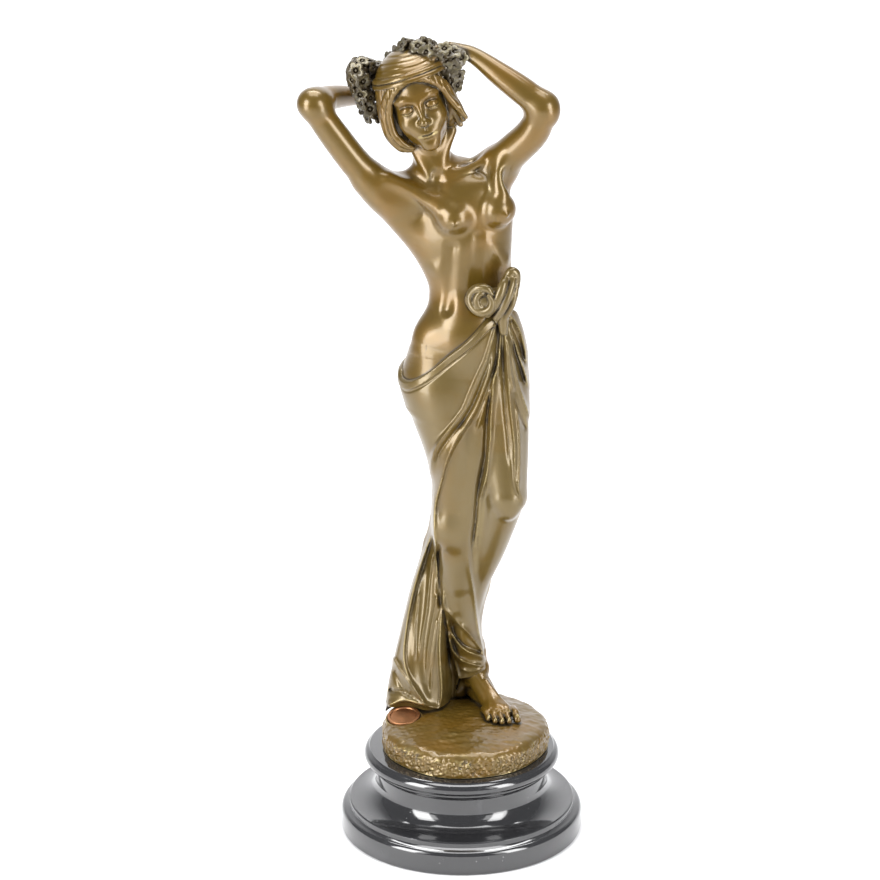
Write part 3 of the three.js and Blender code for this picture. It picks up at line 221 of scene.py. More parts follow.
def egg(centre, halves, turns=(0, 0, 0)):
    """An egg shape: centre, half sizes and its turns about X, Y and Z in degrees."""
    turn = turned_axes(turns)
    reach = max(halves)
    low = [c - reach for c in centre]
    high = [c + reach for c in centre]

    def form(p):
        if p.misses(low, high):
            return None
        px, py, pz = p.x - centre[0], p.y - centre[1], p.z - centre[2]
        outward = 0
        steep = 0
        for i, half in enumerate(halves):
            q = (turn[0][i] * px + turn[1][i] * py + turn[2][i] * pz) / half
            outward = outward + q * q
            steep = steep + (q / half) ** 2
        outward = np.sqrt(outward)
        return outward * (outward - 1) / np.maximum(np.sqrt(steep), 1e-9)

    return form


def smooth_table(rows, step=1.0):
    """Smooth values between the rows of a table whose first column rises."""
    rows = np.array(rows, float)
    count = math.ceil((rows[-1, 0] - rows[0, 0]) / step) + 1
    at = np.minimum(rows[0, 0] + np.arange(count) * step, rows[-1, 0])
    row = np.clip(np.searchsorted(rows[:, 0], at, side="left") - 1, 0, len(rows) - 2)
    before, start = rows[np.maximum(row - 1, 0)], rows[row]
    end, after = rows[row + 1], rows[np.minimum(row + 2, len(rows) - 1)]
    span = (end[:, :1] - start[:, :1])
    t = (at[:, None] - start[:, :1]) / span
    slope_start = span * (end - before) / (end[:, :1] - before[:, :1])
    slope_end = span * (after - start) / (after[:, :1] - start[:, :1])
    values = (
        (2 * t ** 3 - 3 * t ** 2 + 1) * start
        + (t ** 3 - 2 * t ** 2 + t) * slope_start
        + (3 * t ** 2 - 2 * t ** 3) * end
        + (t ** 3 - t ** 2) * slope_end
    )
    grid = rows[0, 0] + np.arange(count) * step
    return lambda where, column: np.interp(where, grid, values[:, column + 1])


def loft(rows, end_rounding=3.0):
    """A stack of oval sections: height, left, right, front, back and a turn in degrees."""
    rows = [tuple(row) + (0,) * (6 - len(row)) for row in rows]
    table = smooth_table(rows)
    bottom, top = rows[0][0], rows[-1][0]
    reach = 1.25 * max(max(abs(row[2] - row[1]), abs(row[4] - row[3])) for row in rows) / 2
    middle_x = [(row[1] + row[2]) / 2 for row in rows]
    middle_y = [(row[3] + row[4]) / 2 for row in rows]
    low = (min(middle_x) - reach, min(middle_y) - reach, bottom)
    high = (max(middle_x) + reach, max(middle_y) + reach, top)

    def form(p):
        if p.misses(low, high):
            return None
        left, right, front, back, turn = (table(p.z, column) for column in range(5))
        turn = np.radians(turn)
        half_width, half_depth = (right - left) / 2, (back - front) / 2
        px, py = p.x - (left + right) / 2, p.y - (front + back) / 2
        cosine, sine = np.cos(turn), np.sin(turn)
        qx = (px * cosine + py * sine) / half_width
        qy = (py * cosine - px * sine) / half_depth
        outward = np.sqrt(qx * qx + qy * qy)
        steep = np.maximum(np.sqrt((qx / half_width) ** 2 + (qy / half_depth) ** 2), 1e-9)
        return common(outward * (outward - 1) / steep, np.maximum(bottom - p.z, p.z - top), end_rounding)

    return form


def fold(path, height, left, right, sharp=1.6):
    """A fold along a path: a ridge, or a hollow below zero, with a slope of its own on either side."""
    places = curve_through([(x, z, 0) for x, z in path], np.linspace(0, 1, 2 * len(path) - 1))[:, :2]
    reach = 2.6 * max(left, right)
    low, high = places.min(0) - reach, places.max(0) + reach
    steps = places[1:] - places[:-1]
    lengths = (steps ** 2).sum(1)

    def form(x, z):
        best = np.full(x.shape, 1e9)
        along = np.zeros(x.shape)
        side = np.zeros(x.shape)
        for i, ((ax, az), (dx, dz), length) in enumerate(zip(places, steps, lengths)):
            t = np.clip(((x - ax) * dx + (z - az) * dz) / length, 0, 1)
            ox, oz = x - ax - t * dx, z - az - t * dz
            away = ox * ox + oz * oz
            closer = away < best
            best = np.where(closer, away, best)
            along = np.where(closer, (i + t) / len(steps), along)
            side = np.where(closer, dx * oz - dz * ox, side)
        width = left + (right - left) * smooth(side / np.sqrt(best + 1e-6) / lengths.mean() ** 0.5, -0.6, 0.6)
        fade = smooth(along, 0, 0.16) * smooth(1 - along, 0, 0.16)
        return height * fade * np.exp(-((best ** 0.5 / width) ** sharp))

    return form, low, high


class Relief:
    """Folds worked out once on a flat sheet, to be laid over the cloth."""

    GRAIN = 0.25

    def __init__(self, folds):
        self.low = np.min([low for _, low, _ in folds], 0)
        high = np.max([high for _, _, high in folds], 0)
        counts = np.ceil((high - self.low) / self.GRAIN).astype(int) + 2
        axes = [self.low[a] + np.arange(counts[a]) * self.GRAIN for a in range(2)]
        self.values = np.zeros(counts)
        for form, low, high in folds:
            first = np.maximum(((low - self.low) / self.GRAIN).astype(int), 0)
            last = ((high - self.low) / self.GRAIN).astype(int) + 1
            x, z = np.meshgrid(axes[0][first[0]:last[0]], axes[1][first[1]:last[1]], indexing="ij")
            self.values[first[0]:last[0], first[1]:last[1]] += form(x, z)

    def __call__(self, x, z):
        u = np.clip((x - self.low[0]) / self.GRAIN, 0, self.values.shape[0] - 1.001)
        v = np.clip((z - self.low[1]) / self.GRAIN, 0, self.values.shape[1] - 1.001)
        i, j = u.astype(int), v.astype(int)
        u, v = u - i, v - j
        near_side = self.values[i, j] * (1 - u) + self.values[i + 1, j] * u
        far_side = self.values[i, j + 1] * (1 - u) + self.values[i + 1, j + 1] * u
        return near_side * (1 - v) + far_side * v


def ripple(p, size, seed, waves=7):
    """An even, unrepeating unevenness between about -1 and 1, with bumps of the given size."""
    draw = np.random.default_rng(seed)
    value = 0
    for _ in range(waves):
        heading = draw.normal(size=3)
        heading *= math.tau / (2 * size) / np.linalg.norm(heading) * draw.uniform(0.7, 1.4)
        phase = draw.uniform(0, math.tau)
        value = value + np.sin(heading[0] * p.x + heading[1] * p.y + heading[2] * p.z + phase)
    return value / waves ** 0.5 / 1.4


# The girl, in the table's millimetres, with her soles at 60
trunk = loft([
    (228, -26.6, 31, -4, 32),
    (240, -29.8, 30.6, -4.5, 34.5),
    (250, -28.2, 28.6, -4.5, 35),
    (262, -22.6, 26.4, -3, 32.5),
    (272, -20, 26, -1.2, 29.5),
    (282, -17, 25.2, 0.5, 28),
    (292, -17, 24.8, 0.5, 28.5),
    (303, -19.5, 24.4, 0, 30.5),
    (315, -22, 24.8, -1, 33),
    (327, -23.5, 24.8, -0.5, 34),
    (338, -25, 20.5, 2, 33),
    (347, -24, 13, 6.5, 30),
    (353, -21, 2, 10, 25),
])
back_muscle = strand([(-46.5, 14, 345.5, 7.8), (-35.2, 15, 333.6, 9.3), (-23.2, 17, 319.4, 9.7),
                      (-10.5, 17, 302, 7.8)])
left_flank = strand([(18.6, 20, 350, 7.2), (13, 19, 327, 7.6)])
shoulders = strand([(-36, 15, 338, 8), (-16, 19, 343, 8), (6, 21, 346, 7.6), (18, 20, 351, 9.4)])
collar = strand([(-13, 8.5, 347.5, 1.6), (2, 10, 351.5, 1.8), (14, 14, 357, 2.2)])
neck = strand([(-12, 18, 346, 9.5), (-15, 16, 358, 8.6), (-17.5, 15, 374, 8.8)])
neck_cords = [
    bar((-13, 7.5, 349, 1.7), (-5.5, 15, 370, 2.6)),
    bar((-15.5, 7.5, 349, 1.7), (-27, 15, 366, 2.4)),
]
throat_pit = egg((-12.6, 5.2, 348.5), (2.2, 2, 2.6))
breasts = [
    egg((-4, 3.4, 329.2), (9.2, 9, 8.8), (-14, 0, 8)),
    egg((17.4, 5.2, 332.4), (9, 9, 8.8), (-14, 0, 30)),
]
nipples = [bar((-3.9, -4.1, 328.4, 1.3), (-3.9, -5.5, 328.1, 0.6)),
           bar((21.2, -2, 332, 1.3), (21.9, -3.1, 331.7, 0.6))]
chest_plate = egg((4, 7, 337), (17, 6.5, 11), (-12, -12, 10))
rib_arch = [bar((5, 3.2, 318, 1.6), (-11, 7, 302, 2.4)), bar((10, 4, 318, 1.4), (19.5, 8.6, 305, 1.8))]
middle_line = bar((7.6, -2.6, 320, 1.2), (6.2, -1.8, 284, 1))
belly_grooves = [bar((-5.6, -0.9, 314, 1), (-8.4, 0.2, 282, 1)),
                 bar((17.4, -1.9, 312, 0.8), (18.4, -1.2, 292, 0.8))]
navel = egg((6, -1.6, 291.5), (0.8, 1.6, 1.3))
belly = egg((3, 6, 268), (15, 10.5, 14), (6, 0, 0))
hip_bones = [egg((-17, 10, 262), (7, 7, 9)), egg((22, 9.6, 262), (7, 7, 9))]
buttocks = [egg((-11, 26, 243), (15, 12.5, 14.5)), egg((17, 25, 243), (14.5, 12.5, 14.5))]
spine = strand([(-11, 35, 340, 2.2), (-2, 36.5, 318, 2.2), (4, 30.5, 290, 2.4), (4, 35, 262, 1.6)])
shoulder_blades = [egg((-22, 28, 331), (9, 5, 12), (8, 20, -14)),
                   egg((12, 30, 335), (9, 5, 12), (8, -20, 20))]
armpits = [egg((-31, 2.2, 336.5), (10, 3, 3.6), (0, 34, 0)), egg((23, 7.5, 350), (2.6, 4, 7.5), (0, 12, 0))]
chest_cords = [
    strand([(-37, 8, 347, 4), (-24, 6.5, 341, 4), (-12, 3, 335, 4)]),
    strand([(20, 11, 358, 3.6), (18, 6, 349, 3.6), (19, 3.5, 341, 4)]),
]


def trunk_form(p):
    return built(
        p,
        (9, trunk, back_muscle), (6, left_flank), (7, shoulders), (8, neck), (3, *neck_cords, collar),
        (5, chest_plate, *chest_cords), (3.2, *breasts), (1.8, *nipples), (5, *rib_arch, *shoulder_blades),
        (12, belly), (10, *hip_bones), (5, *buttocks), (-5, *belly_grooves), (-4, middle_line), (-5, spine),
        (-1.6, navel), (-4, throat_pit), (-5, *armpits),
    )


right_arm = strand([
    (-28, 15, 334.6, 9.8), (-39.6, 14, 340, 9.4), (-51.2, 12, 352.2, 7.7), (-63.3, 10, 369, 7.3),
    (-73.8, 8, 385, 6.5),
])
right_forearm = strand([(-73.4, 8, 386, 6.4), (-67, 20, 385, 6.2), (-58, 34, 382.3, 5.2),
                        (-51, 43, 379.5, 4)])
right_hand = strand([(-51, 43, 379.5, 4), (-46, 40, 383, 4.2), (-43, 34, 388, 3)])
left_arm = strand([(14, 20, 347, 9.4), (24.4, 14, 359.2, 8.6), (34.6, 8, 371.5, 8.1), (39.6, 4, 385, 7)])
left_forearm = strand([
    (39.2, 4, 385, 6.8), (30.2, 6, 391.8, 6.9), (19.3, 9, 399.2, 6), (4, 14, 409, 4), (-2, 15, 410.3, 3.9),
])
left_hand = [
    egg((-6, 14.5, 410.5), (6, 3.4, 4.6), (0, 8, 0)),
    strand([(-8, 12, 413, 1.9), (-14, 9.5, 412.5, 1.7), (-18, 9.5, 409, 1.5)]),
    strand([(-8, 11.5, 410.5, 1.9), (-14, 8.5, 409.5, 1.7), (-17.5, 8.8, 405.5, 1.5)]),
    strand([(-7, 11.5, 408, 1.8), (-11.5, 8.5, 406, 1.6), (-14, 9, 402.5, 1.4)]),
    strand([(-5, 12, 406, 1.7), (-8, 9.5, 403.5, 1.5), (-9.5, 10, 400.5, 1.3)]),
]
right_fingers = [
    strand([(-46, 40, 384 + 2.4 * i, 2), (-43.5 + i, 33, 387.5 + 2.4 * i, 1.8),
            (-45 + i, 26, 389 + 2 * i, 1.5)])
    for i in range(4)
]
elbow_tips = [egg((-71.4, 11, 384.6), (6.2, 8, 6)), egg((42.4, 3.4, 381), (3.4, 3.8, 3.8))]


def arms_form(p):
    right = built(p, (6, right_arm, right_forearm), (2, right_hand), (0.8, *right_fingers))
    left = built(p, (5, left_arm, left_forearm), (1.2, *left_hand))
    return built(p, (5, *elbow_tips), start=nearest(right, left))


# The head in its own frame: her left to +X, the face to -Y, the crown at +Z
HEAD_CENTRE = (-22.5, 12, 387)
HEAD_TURN = turned_axes((2, -17, 4), "YXZ")
BOTH_SIDES = (-1, 1)
cranium = egg((0, 2.5, 6.5), (15, 18, 16.8))
jaw = egg((0, -4.5, -7.5), (12, 13, 16.5), (-4, 0, 0))
chin = egg((0, -13.2, -19.8), (4.6, 4.4, 3.9))
brow = egg((0, -12.5, 4.5), (10.5, 4.5, 3.6))
eye_hollows = [egg((side * 6, -18.6, 0.2), (4.2, 3.8, 3), (0, 0, side * 16)) for side in BOTH_SIDES]
eyes = [egg((side * 5.9, -13, -0.4), (3.2, 3.2, 2.7)) for side in BOTH_SIDES]
upper_lids = [egg((side * 5.9, -12.9, -0.2), (3.8, 3.75, 2.9), (0, side * 6, 0)) for side in BOTH_SIDES]
lower_lids = [egg((side * 5.9, -12.9, -0.7), (3.6, 3.5, 2.7), (0, side * 6, 0)) for side in BOTH_SIDES]
lid_creases = [
    strand([(side * 3, -15.6, 1.6, 0.3), (side * 6, -16.6, 2.7, 0.35), (side * 9.4, -13.9, 1.5, 0.3)], 3)
    for side in BOTH_SIDES
]
eyebrows = [
    strand([(side * 2.8, -16.4, 4.1, 0.7), (side * 6.4, -15.9, 5.5, 0.8), (side * 10.4, -12.4, 4.6, 0.5)], 3)
    for side in BOTH_SIDES
]
cheeks = [egg((side * 6.8, -11.5, -7.5), (4.6, 4.6, 5)) for side in BOTH_SIDES]
nose = strand([(0, -16.2, 2.5, 1.3), (0, -18.4, -3, 1.25), (0, -20, -6.6, 1.6)])
nose_tip = egg((0, -20.2, -6.9), (1.8, 1.7, 1.5))
nose_wings = [egg((side * 1.8, -18, -7.4), (1.1, 1.9, 1.1), (0, 0, side * -12)) for side in BOTH_SIDES]
nostrils = [egg((side * 1.1, -18.8, -8.7), (0.5, 0.9, 0.5), (0, 0, side * -18)) for side in BOTH_SIDES]
lip_groove = strand([(0, -18.6, -9.8, 0.4), (0, -18.7, -11.4, 0.5)], 1)
muzzle = egg((0, -14.8, -12.8), (6, 3.2, 4.6))
upper_lips = [egg((side * 1.35, -17.2, -12.75), (2.6, 1.3, 0.95),
                  (0, side * -9, side * 12)) for side in BOTH_SIDES]
lower_lip = egg((0, -17.1, -14.75), (2.9, 1.4, 1.1))
mouth_line = strand([(-4, -16.7, -13.9, 0.15), (-1.8, -18.3, -13.65, 0.25), (0, -18.6, -13.85, 0.25),
                     (1.8, -18.3, -13.65, 0.25), (4, -16.7, -13.9, 0.15)], 3)
under_lip = egg((0, -19.4, -16.9), (3.2, 1.6, 1))


def face_form(q):
    d = built(q, (6, cranium, jaw), (4, chin, brow, *cheeks), (-2.6, *eye_hollows), (4, muzzle),
              (1.8, *eyebrows))
    for eye, upper, lower, crease in zip(eyes, upper_lids, lower_lids, lid_creases):
        d = join(d, eye(q), 0.6)
        lid = upper(q)
        if lid is not None:
            d = join(d, common(lid, -1.1 - q.z, 0.3), 0.5)
            d = join(d, common(lower(q), q.z + 1.8, 0.3), 0.5)
        d = carve(d, crease(q), 0.9)
    return built(
        q,
        (1.8, nose, nose_tip), (1.9, *nose_wings), (-0.5, *nostrils), (-0.7, lip_groove),
        (1.2, *upper_lips, lower_lip), (-0.6, mouth_line), (-2, under_lip), start=d,
    )


hair_cap = egg((0, 3, 6.8), (18.6, 20.6, 18.6))
hair_locks = [
    strand([(-1, -15.2, 14.4, 1.2), (-8, -14.2, 11.5, 1.5), (-13.2, -11, 5, 1.7), (-15.6, -9, -3, 1.9),
            (-15.8, -8.6, -11, 2), (-13, -9, -17.4, 1.8), (-9.5, -9.2, -20.4, 1.3)]),
    strand([(-3, -13.5, 14.6, 1.6), (-10, -11.5, 11.5, 2.2), (-15.2, -7, 4, 2.6), (-17.6, -5, -5, 3),
            (-17.2, -4.6, -13, 3.2), (-14, -5.4, -19.4, 2.8), (-10, -6, -21.8, 1.8)]),
    strand([(1, -15.2, 14.4, 1.2), (8, -14, 11.5, 1.5), (13.2, -11.2, 5, 1.7), (15.6, -10, -2, 1.8),
            (18.4, -10, -8.6, 1.6), (20.4, -10, -13.6, 1)]),
    strand([(3, -13.5, 14.6, 1.6), (10, -11.5, 11.5, 2.2), (15, -8, 4, 2.5), (16.8, -6.6, -4, 2.4),
            (18.4, -7, -10, 2), (18.6, -7.6, -15, 1.3)]),
    strand([(13, -4, 4, 3), (15, -4, -6, 3), (16.2, -4.6, -13, 2.4), (16.4, -5.4, -17.6, 1.4)]),
]
hair_sides = [egg((-14.4, 3, -7.5), (6.8, 9.5, 15)), egg((13.2, 3, -6.5), (6, 9.5, 14))]
nape = egg((0, 13, -8), (13, 9, 12))
RIBBON_HEIGHT = 12.6
RIBBON_LEAN = 0.158
RIBBON_GAP = 1.25
STRAND_DEPTH = 0.1
STRANDS_ROUND = 42
BAND_THICKNESS = 0.8


def hair_form(q):
    hair = carve(hair_cap(q), np.maximum(q.y + 5, q.z - 13), 5)
    hair = built(q, (4, *hair_sides), (1.2, *hair_locks), (5, nape), start=hair)
    if hair is None:
        return None
    height = q.z - RIBBON_HEIGHT + (q.y - 3) * RIBBON_LEAN
    swept = 2.3 * height + 1.2 * np.sin(0.22 * q.x + 0.3)
    hanging = STRANDS_ROUND * np.arctan2(q.x, 4 - q.y) + 0.9 * np.sin(0.35 * q.z)
    below = 1 - smooth(height, -0.8, 0.8)
    lines = np.where(below > 0.5, np.sin(hanging) + 0.4 * np.sin(2 * hanging + 1),
                     np.sin(swept) + 0.4 * np.sin(2 * swept + 1))
    hair = hair - STRAND_DEPTH * lines * smooth(np.abs(height), 0, 1.6)
    cap = hair_cap(q)
    if cap is None:
        return hair
    for level in (-RIBBON_GAP, RIBBON_GAP):
        side = np.maximum(np.abs(height - level) - 0.3, 0)
        band = np.sqrt(side ** 2 + np.maximum(np.abs(cap) - 0.5, 0) ** 2) - BAND_THICKNESS
        hair = join(hair, band, 0.5)
    return hair


def head_form(p):
    q = p.seen_from(HEAD_TURN, HEAD_CENTRE)
    if q.misses((-24, -24, -26), (24, 26, 28)):
        return None
    return join(face_form(q), hair_form(q), 0.5)


# The garland: a rope of leaves behind the head, over it and down its far side
GARLAND_PATH = [
    (-44.5, 19, 376.5), (-47, 18.5, 385), (-51, 18, 393), (-51, 18.5, 399), (-46.5, 24, 397.5),
    (-40, 29, 395.5), (-32.5, 23, 404), (-26, 15, 412), (-17, 11.5, 411.5), (-9.5, 11.5, 406),
    (-7, 13, 398.5), (-7.5, 15, 391), (-7.5, 17.5, 383.5),
]
GARLAND_THICKNESS = 8.0
BLOOM_SPACING = 4.7
BLOOM_RADIUS = 4.3
BLOOM_SEED = 11
BLOOM_TRIES = 5000
PLACES_ALONG = 240
HAND_FLOWERS = [
    ((-4, 9.5, 411), (0.1, -0.6, 0.8)), ((-1, 9.5, 408.5), (0.3, -0.9, 0.2)),
    ((-4.5, 8.5, 404), (0, -1, -0.1)), ((-9, 8.5, 413), (-0.1, -0.7, 0.7)),
    ((-2.5, 10, 399.5), (0.4, -0.9, -0.2)), ((-3, 12, 394), (0.7, -0.7, 0)), ((-9.5, 9, 398), (-0.3, -1, 0)),
]
garland_bulk = smooth_table(
    [(0, 0.4), (0.12, 0.52), (0.26, 0.7), (0.36, 0.4), (0.5, 0.42), (0.8, 0.42), (1, 0.36)], 0.02)


def evenly_spaced(points, count, divisions=600):
    """Places and headings at even steps along a smooth curve."""
    dense = curve_through(points, [i / divisions for i in range(divisions + 1)])
    run = np.concatenate([[0], np.cumsum(np.linalg.norm(np.diff(dense, axis=0), axis=1))])
    out = []
    for i in range(count):
        share = (i + 0.5) / count
        here, ahead = (np.array([np.interp(share * run[-1] + step, run, dense[:, a]) for a in range(3)])
                       for step in (-0.2, 0.2))
        out.append((share, (here + ahead) / 2, (ahead - here) / np.linalg.norm(ahead - here)))
    return out


def bloom(centre, facing, radius, spin, cup):
    """A five-petalled flower with a button in its middle."""
    facing = Vector(facing).normalized()
    side = Vector((0.3, 0.1, 1)).cross(facing).normalized()
    up = facing.cross(side)
    reach = radius * 1.15
    low = [c - reach for c in centre]
    high = [c + reach for c in centre]
    sector = math.tau / 5

    def form(p):
        if p.misses(low, high, 1.5):
            return None
        px, py, pz = p.x - centre[0], p.y - centre[1], p.z - centre[2]
        u = (px * side[0] + py * side[1] + pz * side[2]) / radius
        v = (px * up[0] + py * up[1] + pz * up[2]) / radius
        w = (px * facing[0] + py * facing[1] + pz * facing[2]) / radius
        reach_out = np.sqrt(u * u + v * v)
        angle = np.arctan2(v, u) + spin
        folded = (angle + sector / 2) % sector - sector / 2
        along, over = reach_out * np.cos(folded), reach_out * np.sin(folded)
        lifted = w - cup * reach_out ** 2 + 0.22 * np.cos(folded * 2.5) * reach_out
        petal = np.sqrt(((along - 0.54) / 0.46) ** 2 + (over / 0.4) ** 2 + (lifted / 0.26) ** 2)
        d = (petal - 1) * 0.24
        middle = np.sqrt(u * u + v * v + (w - 0.1) ** 2)
        d = carve(d, middle - 0.3, 0.06)
        button = np.sqrt(u * u + v * v + (w - 0.04) ** 2) - 0.19
        return join(d, button, 0.04) * radius * 0.85

    return form


def garland_blooms(spacing, radius):
    """Flowers set at random round the rope, none closer to another than the spacing."""
    draw = np.random.default_rng(BLOOM_SEED)
    places = evenly_spaced(GARLAND_PATH, PLACES_ALONG)
    centres, flowers = [], []
    for _ in range(BLOOM_TRIES):
        share, place, tangent = places[draw.integers(len(places))]
        start = Vector((0, -1, 0.2)).cross(Vector(tangent)).normalized()
        facing = Matrix.Rotation(draw.uniform(0, math.tau), 3, Vector(tangent)) @ start
        centre = Vector(place) + facing * (GARLAND_THICKNESS * float(garland_bulk(share, 0)) - 0.2)
        if centres and min((centre - other).length for other in centres) < spacing:
            continue
        centres.append(centre)
        facing = (facing + Vector(draw.uniform(-0.3, 0.3, 3))).normalized()
        flowers.append(bloom(tuple(centre), facing, radius * draw.uniform(0.85, 1.15),
                             draw.uniform(0, math.tau), draw.uniform(0.1, 0.45)))
    for centre, facing in HAND_FLOWERS:
        flowers.append(bloom(centre, Vector(facing).normalized(), radius, draw.uniform(0, math.tau), 0.3))
    return flowers


garland_core = strand([
    (*place, GARLAND_THICKNESS * float(garland_bulk(share, 0)) - 0.9)
    for share, place, _ in evenly_spaced(GARLAND_PATH, 25)
], 1)
blooms = garland_blooms(BLOOM_SPACING, BLOOM_RADIUS)


def garland_form(p):
    d = garland_core(p)
    if d is not None:
        d = d - 0.35 * ripple(p, 0.9, 5)
    return built(p, (0.25, *blooms), start=d)


# The legs, under the cloth
right_leg = loft([
    (66, 0.4, 12.8, 20, 36),
    (74, 0.4, 12.8, 20, 36),
    (86, -1.3, 10.2, 19, 35.5),
    (98, -4.4, 7.4, 17.5, 35.5),
    (111, -6.7, 6, 15, 36),
    (125, -10, 5.6, 12, 35.5),
    (140, -11.6, 4, 8.5, 32),
    (152, -13, 2.6, 5, 27.5),
    (163, -13.8, 3, 2.5, 26),
    (174, -13.8, 4, 1, 26),
    (188, -14.3, 6, -2, 27),
    (205, -18.6, 8, -4.5, 29),
    (222, -24.6, 9, -5.5, 32),
    (240, -28.6, 9, -5, 34),
    (256, -24.6, 8, 0, 33),
])
knee_cap = egg((-5, 5.8, 162), (6, 4, 7.6))
left_knee = egg((23.4, -3.4, 181), (4.4, 4.2, 8), (-20, 0, 0))
left_thigh = strand([(15, 14, 250, 16.4), (19.5, 7.5, 214, 13), (22.6, -0.5, 184, 8.9)])
left_shin = strand([(22.4, 0, 182, 8.6), (14, 14, 150, 7.6), (5, 25, 122, 6.2), (-1.5, 34, 97, 5)])
left_foot = strand([(0, 34, 95, 5.4), (-3, 36, 74, 5), (-1, 28, 62, 4.5)])


def legs_form(p):
    right = built(p, (7, right_leg, knee_cap))
    left = built(p, (2, left_thigh, left_shin))
    return built(p, (3, left_knee), (5, left_foot), start=join(right, left, 7))


ankle = strand([(6.8, 27.5, 84, 6.4), (7, 28, 74, 6.2), (3.5, 33, 65.5, 5.8)])
instep = strand([(7.5, 25, 72.5, 5.6), (13, 13.5, 67, 5.4), (18, 2.5, 62.6, 4.6)])
sole = strand([(3.5, 33, 63.5, 5), (13.5, 16, 62.3, 4.6), (22, 1.5, 62, 4)])
ball_of_foot = egg((18.4, 1.2, 62.2), (7.8, 6.4, 3.9), (0, 0, -24))
ankle_bone = egg((12.2, 27, 75.5), (2, 2.6, 2.8))
foot_cords = [
    strand([(12.6, 15.2, 72.6, 0.8), (14.2 + 2.6 * i, 6 - i, 67.4 - 0.5 * i, 0.7),
            (14.4 + 3.5 * i, -1 - i, 64.6, 0.6)])
    for i in range(4)
]


def toe(i):
    """One toe, from the little one to the big one, with its nail."""
    size = 2.3 if i == 4 else 1.62
    x = 13.9 + 3.5 * i + (0.8 if i == 4 else 0)
    y = -4.3 - 3.7 * math.sin(i * 0.75)
    shape = strand([(x - 2.4, y + 8, 62.6, size), (x - 1.2, y + 3, 62.9, size),
                    (x - 0.5, y + 1, 62, size * 0.88), (x, y - 1.3, 61, size * 0.9)])
    nail = egg((x + 0.1, y - 1.9, 61.3 + size * 0.72), (size * 0.6, size * 0.7, 0.4), (42, 0, -10))
    return shape, nail


toes = [toe(i) for i in range(5)]


def foot_form(p):
    d = built(p, (4, ankle, instep), (3, sole, ball_of_foot, ankle_bone), (1.6, *foot_cords))
    for shape, nail in toes:
        d = built(p, (0.6, shape), (0.3, nail), start=d)
    return d


# Above or below these levels a part of the body isn't felt
TRUNK_BOTTOM = 205
LEGS_TOP = 275
HEAD_BOTTOM = 340
FOOT_TOP = 100
CLOTH_TOP = 312
upper_neck = strand([(-14.5, 16, 356, 10.5), (-17.5, 15, 374, 10.5)])


def nude_form(p):
    """Her body without the head and the right foot, under the cloth too."""
    upper = trunk_form(p) if p.high[2] > TRUNK_BOTTOM else None
    upper = join(upper, arms_form(p), 4)
    lower = legs_form(p) if p.low[2] < LEGS_TOP else None
    return join(upper, lower, 6)


def skin_form(p):
    d = nude_form(p)
    if p.high[2] > HEAD_BOTTOM:
        d = join(d, head_form(p), 1.5)
    if p.low[2] < FOOT_TOP:
        d = nearest(d, foot_form(p))
    return d


def head_zone(p):
    """Below zero round the head and the neck, where the finer mesh is used."""
    return nearest(head_form(p), upper_neck(p))


# The seal's place on the ground
SEAL_REACH = 31.5
SEAL_SIDE = math.radians(176)
seal_turn = Matrix.Rotation(math.radians(9), 3, "X") @ Matrix.Rotation(math.radians(-4), 3, "Y")
seal_centre = Vector((
    GROUND_OFFSET + SEAL_REACH * math.cos(SEAL_SIDE),
    SEAL_REACH * math.sin(SEAL_SIDE),
    CASTING_FLOOR + GROUND_EDGE + 0.5 * (GROUND_CROWN - GROUND_EDGE),
))
seal_axis = seal_turn @ Vector((0, 0, 1))
seal_room = egg((seal_centre.x, seal_centre.y - 1.2, seal_centre.z + 1), (10.6, 9.6, 7.2))


# The cloth's upper edge, by the angle round the hips from her left side: angle, height
HIP_AXIS = (2, 14)
cloth_edge = smooth_table([
    (-213.7, 249.5), (-180, 246), (-172, 243.4), (-157.6, 244), (-141.8, 248.8), (-118.8, 258.4),
    (-91.2, 267.4), (-64.4, 277), (-50, 280), (-26.6, 281.5), (4, 275), (48, 262), (95, 253),
    (146.3, 249.5), (180, 246), (188, 243.4), (202.4, 244),
], 2)
CLOTH_THICKNESS = 1.3
BAND_WIDTH = 5.6
BAND_HEIGHT = 0.75

# The cloth stretched between her thighs
lap = strand([(8, 7, 232, 9), (7.5, 5.5, 205, 8.6), (5, 6, 178, 7), (1.5, 10, 150, 5), (0, 16, 130, 4)])
back_cloth = loft([
    (46, -22, 2, 20, 38),
    (74, -22, 3, 21, 39),
    (96, -22, 4, 22, 39),
    (120, -18, 8, 20, 37.5),
    (150, -12, 15, 18, 36),
    (185, -12, 25, 16, 36.5),
    (215, -17, 28, 14, 37.5),
    (240, -19, 28, 16, 37),
], 6)
tail = loft([
    (50, -40.6, -4, 6, 36, 28),
    (60, -39.1, -4, 7, 35, 27),
    (73, -36.8, -4, 9, 36, 24),
    (88, -32.8, -2, 12, 37, 18),
    (107, -27.8, 3.5, 15, 38, 10),
    (124, -23.6, 6, 17, 38, 4),
    (141, -18.2, 10, 18, 37, 0),
    (157, -14.2, 14, 17, 36, 0),
    (170, -11, 17, 16, 34, 0),
], 5)

tail_gap = strand([(-5, 4, 112, 1), (-4.8, 4, 98, 2.4), (-4, 5, 80, 3.6), (-3, 6, 62, 4.4), (-3, 6, 46, 4.4)])

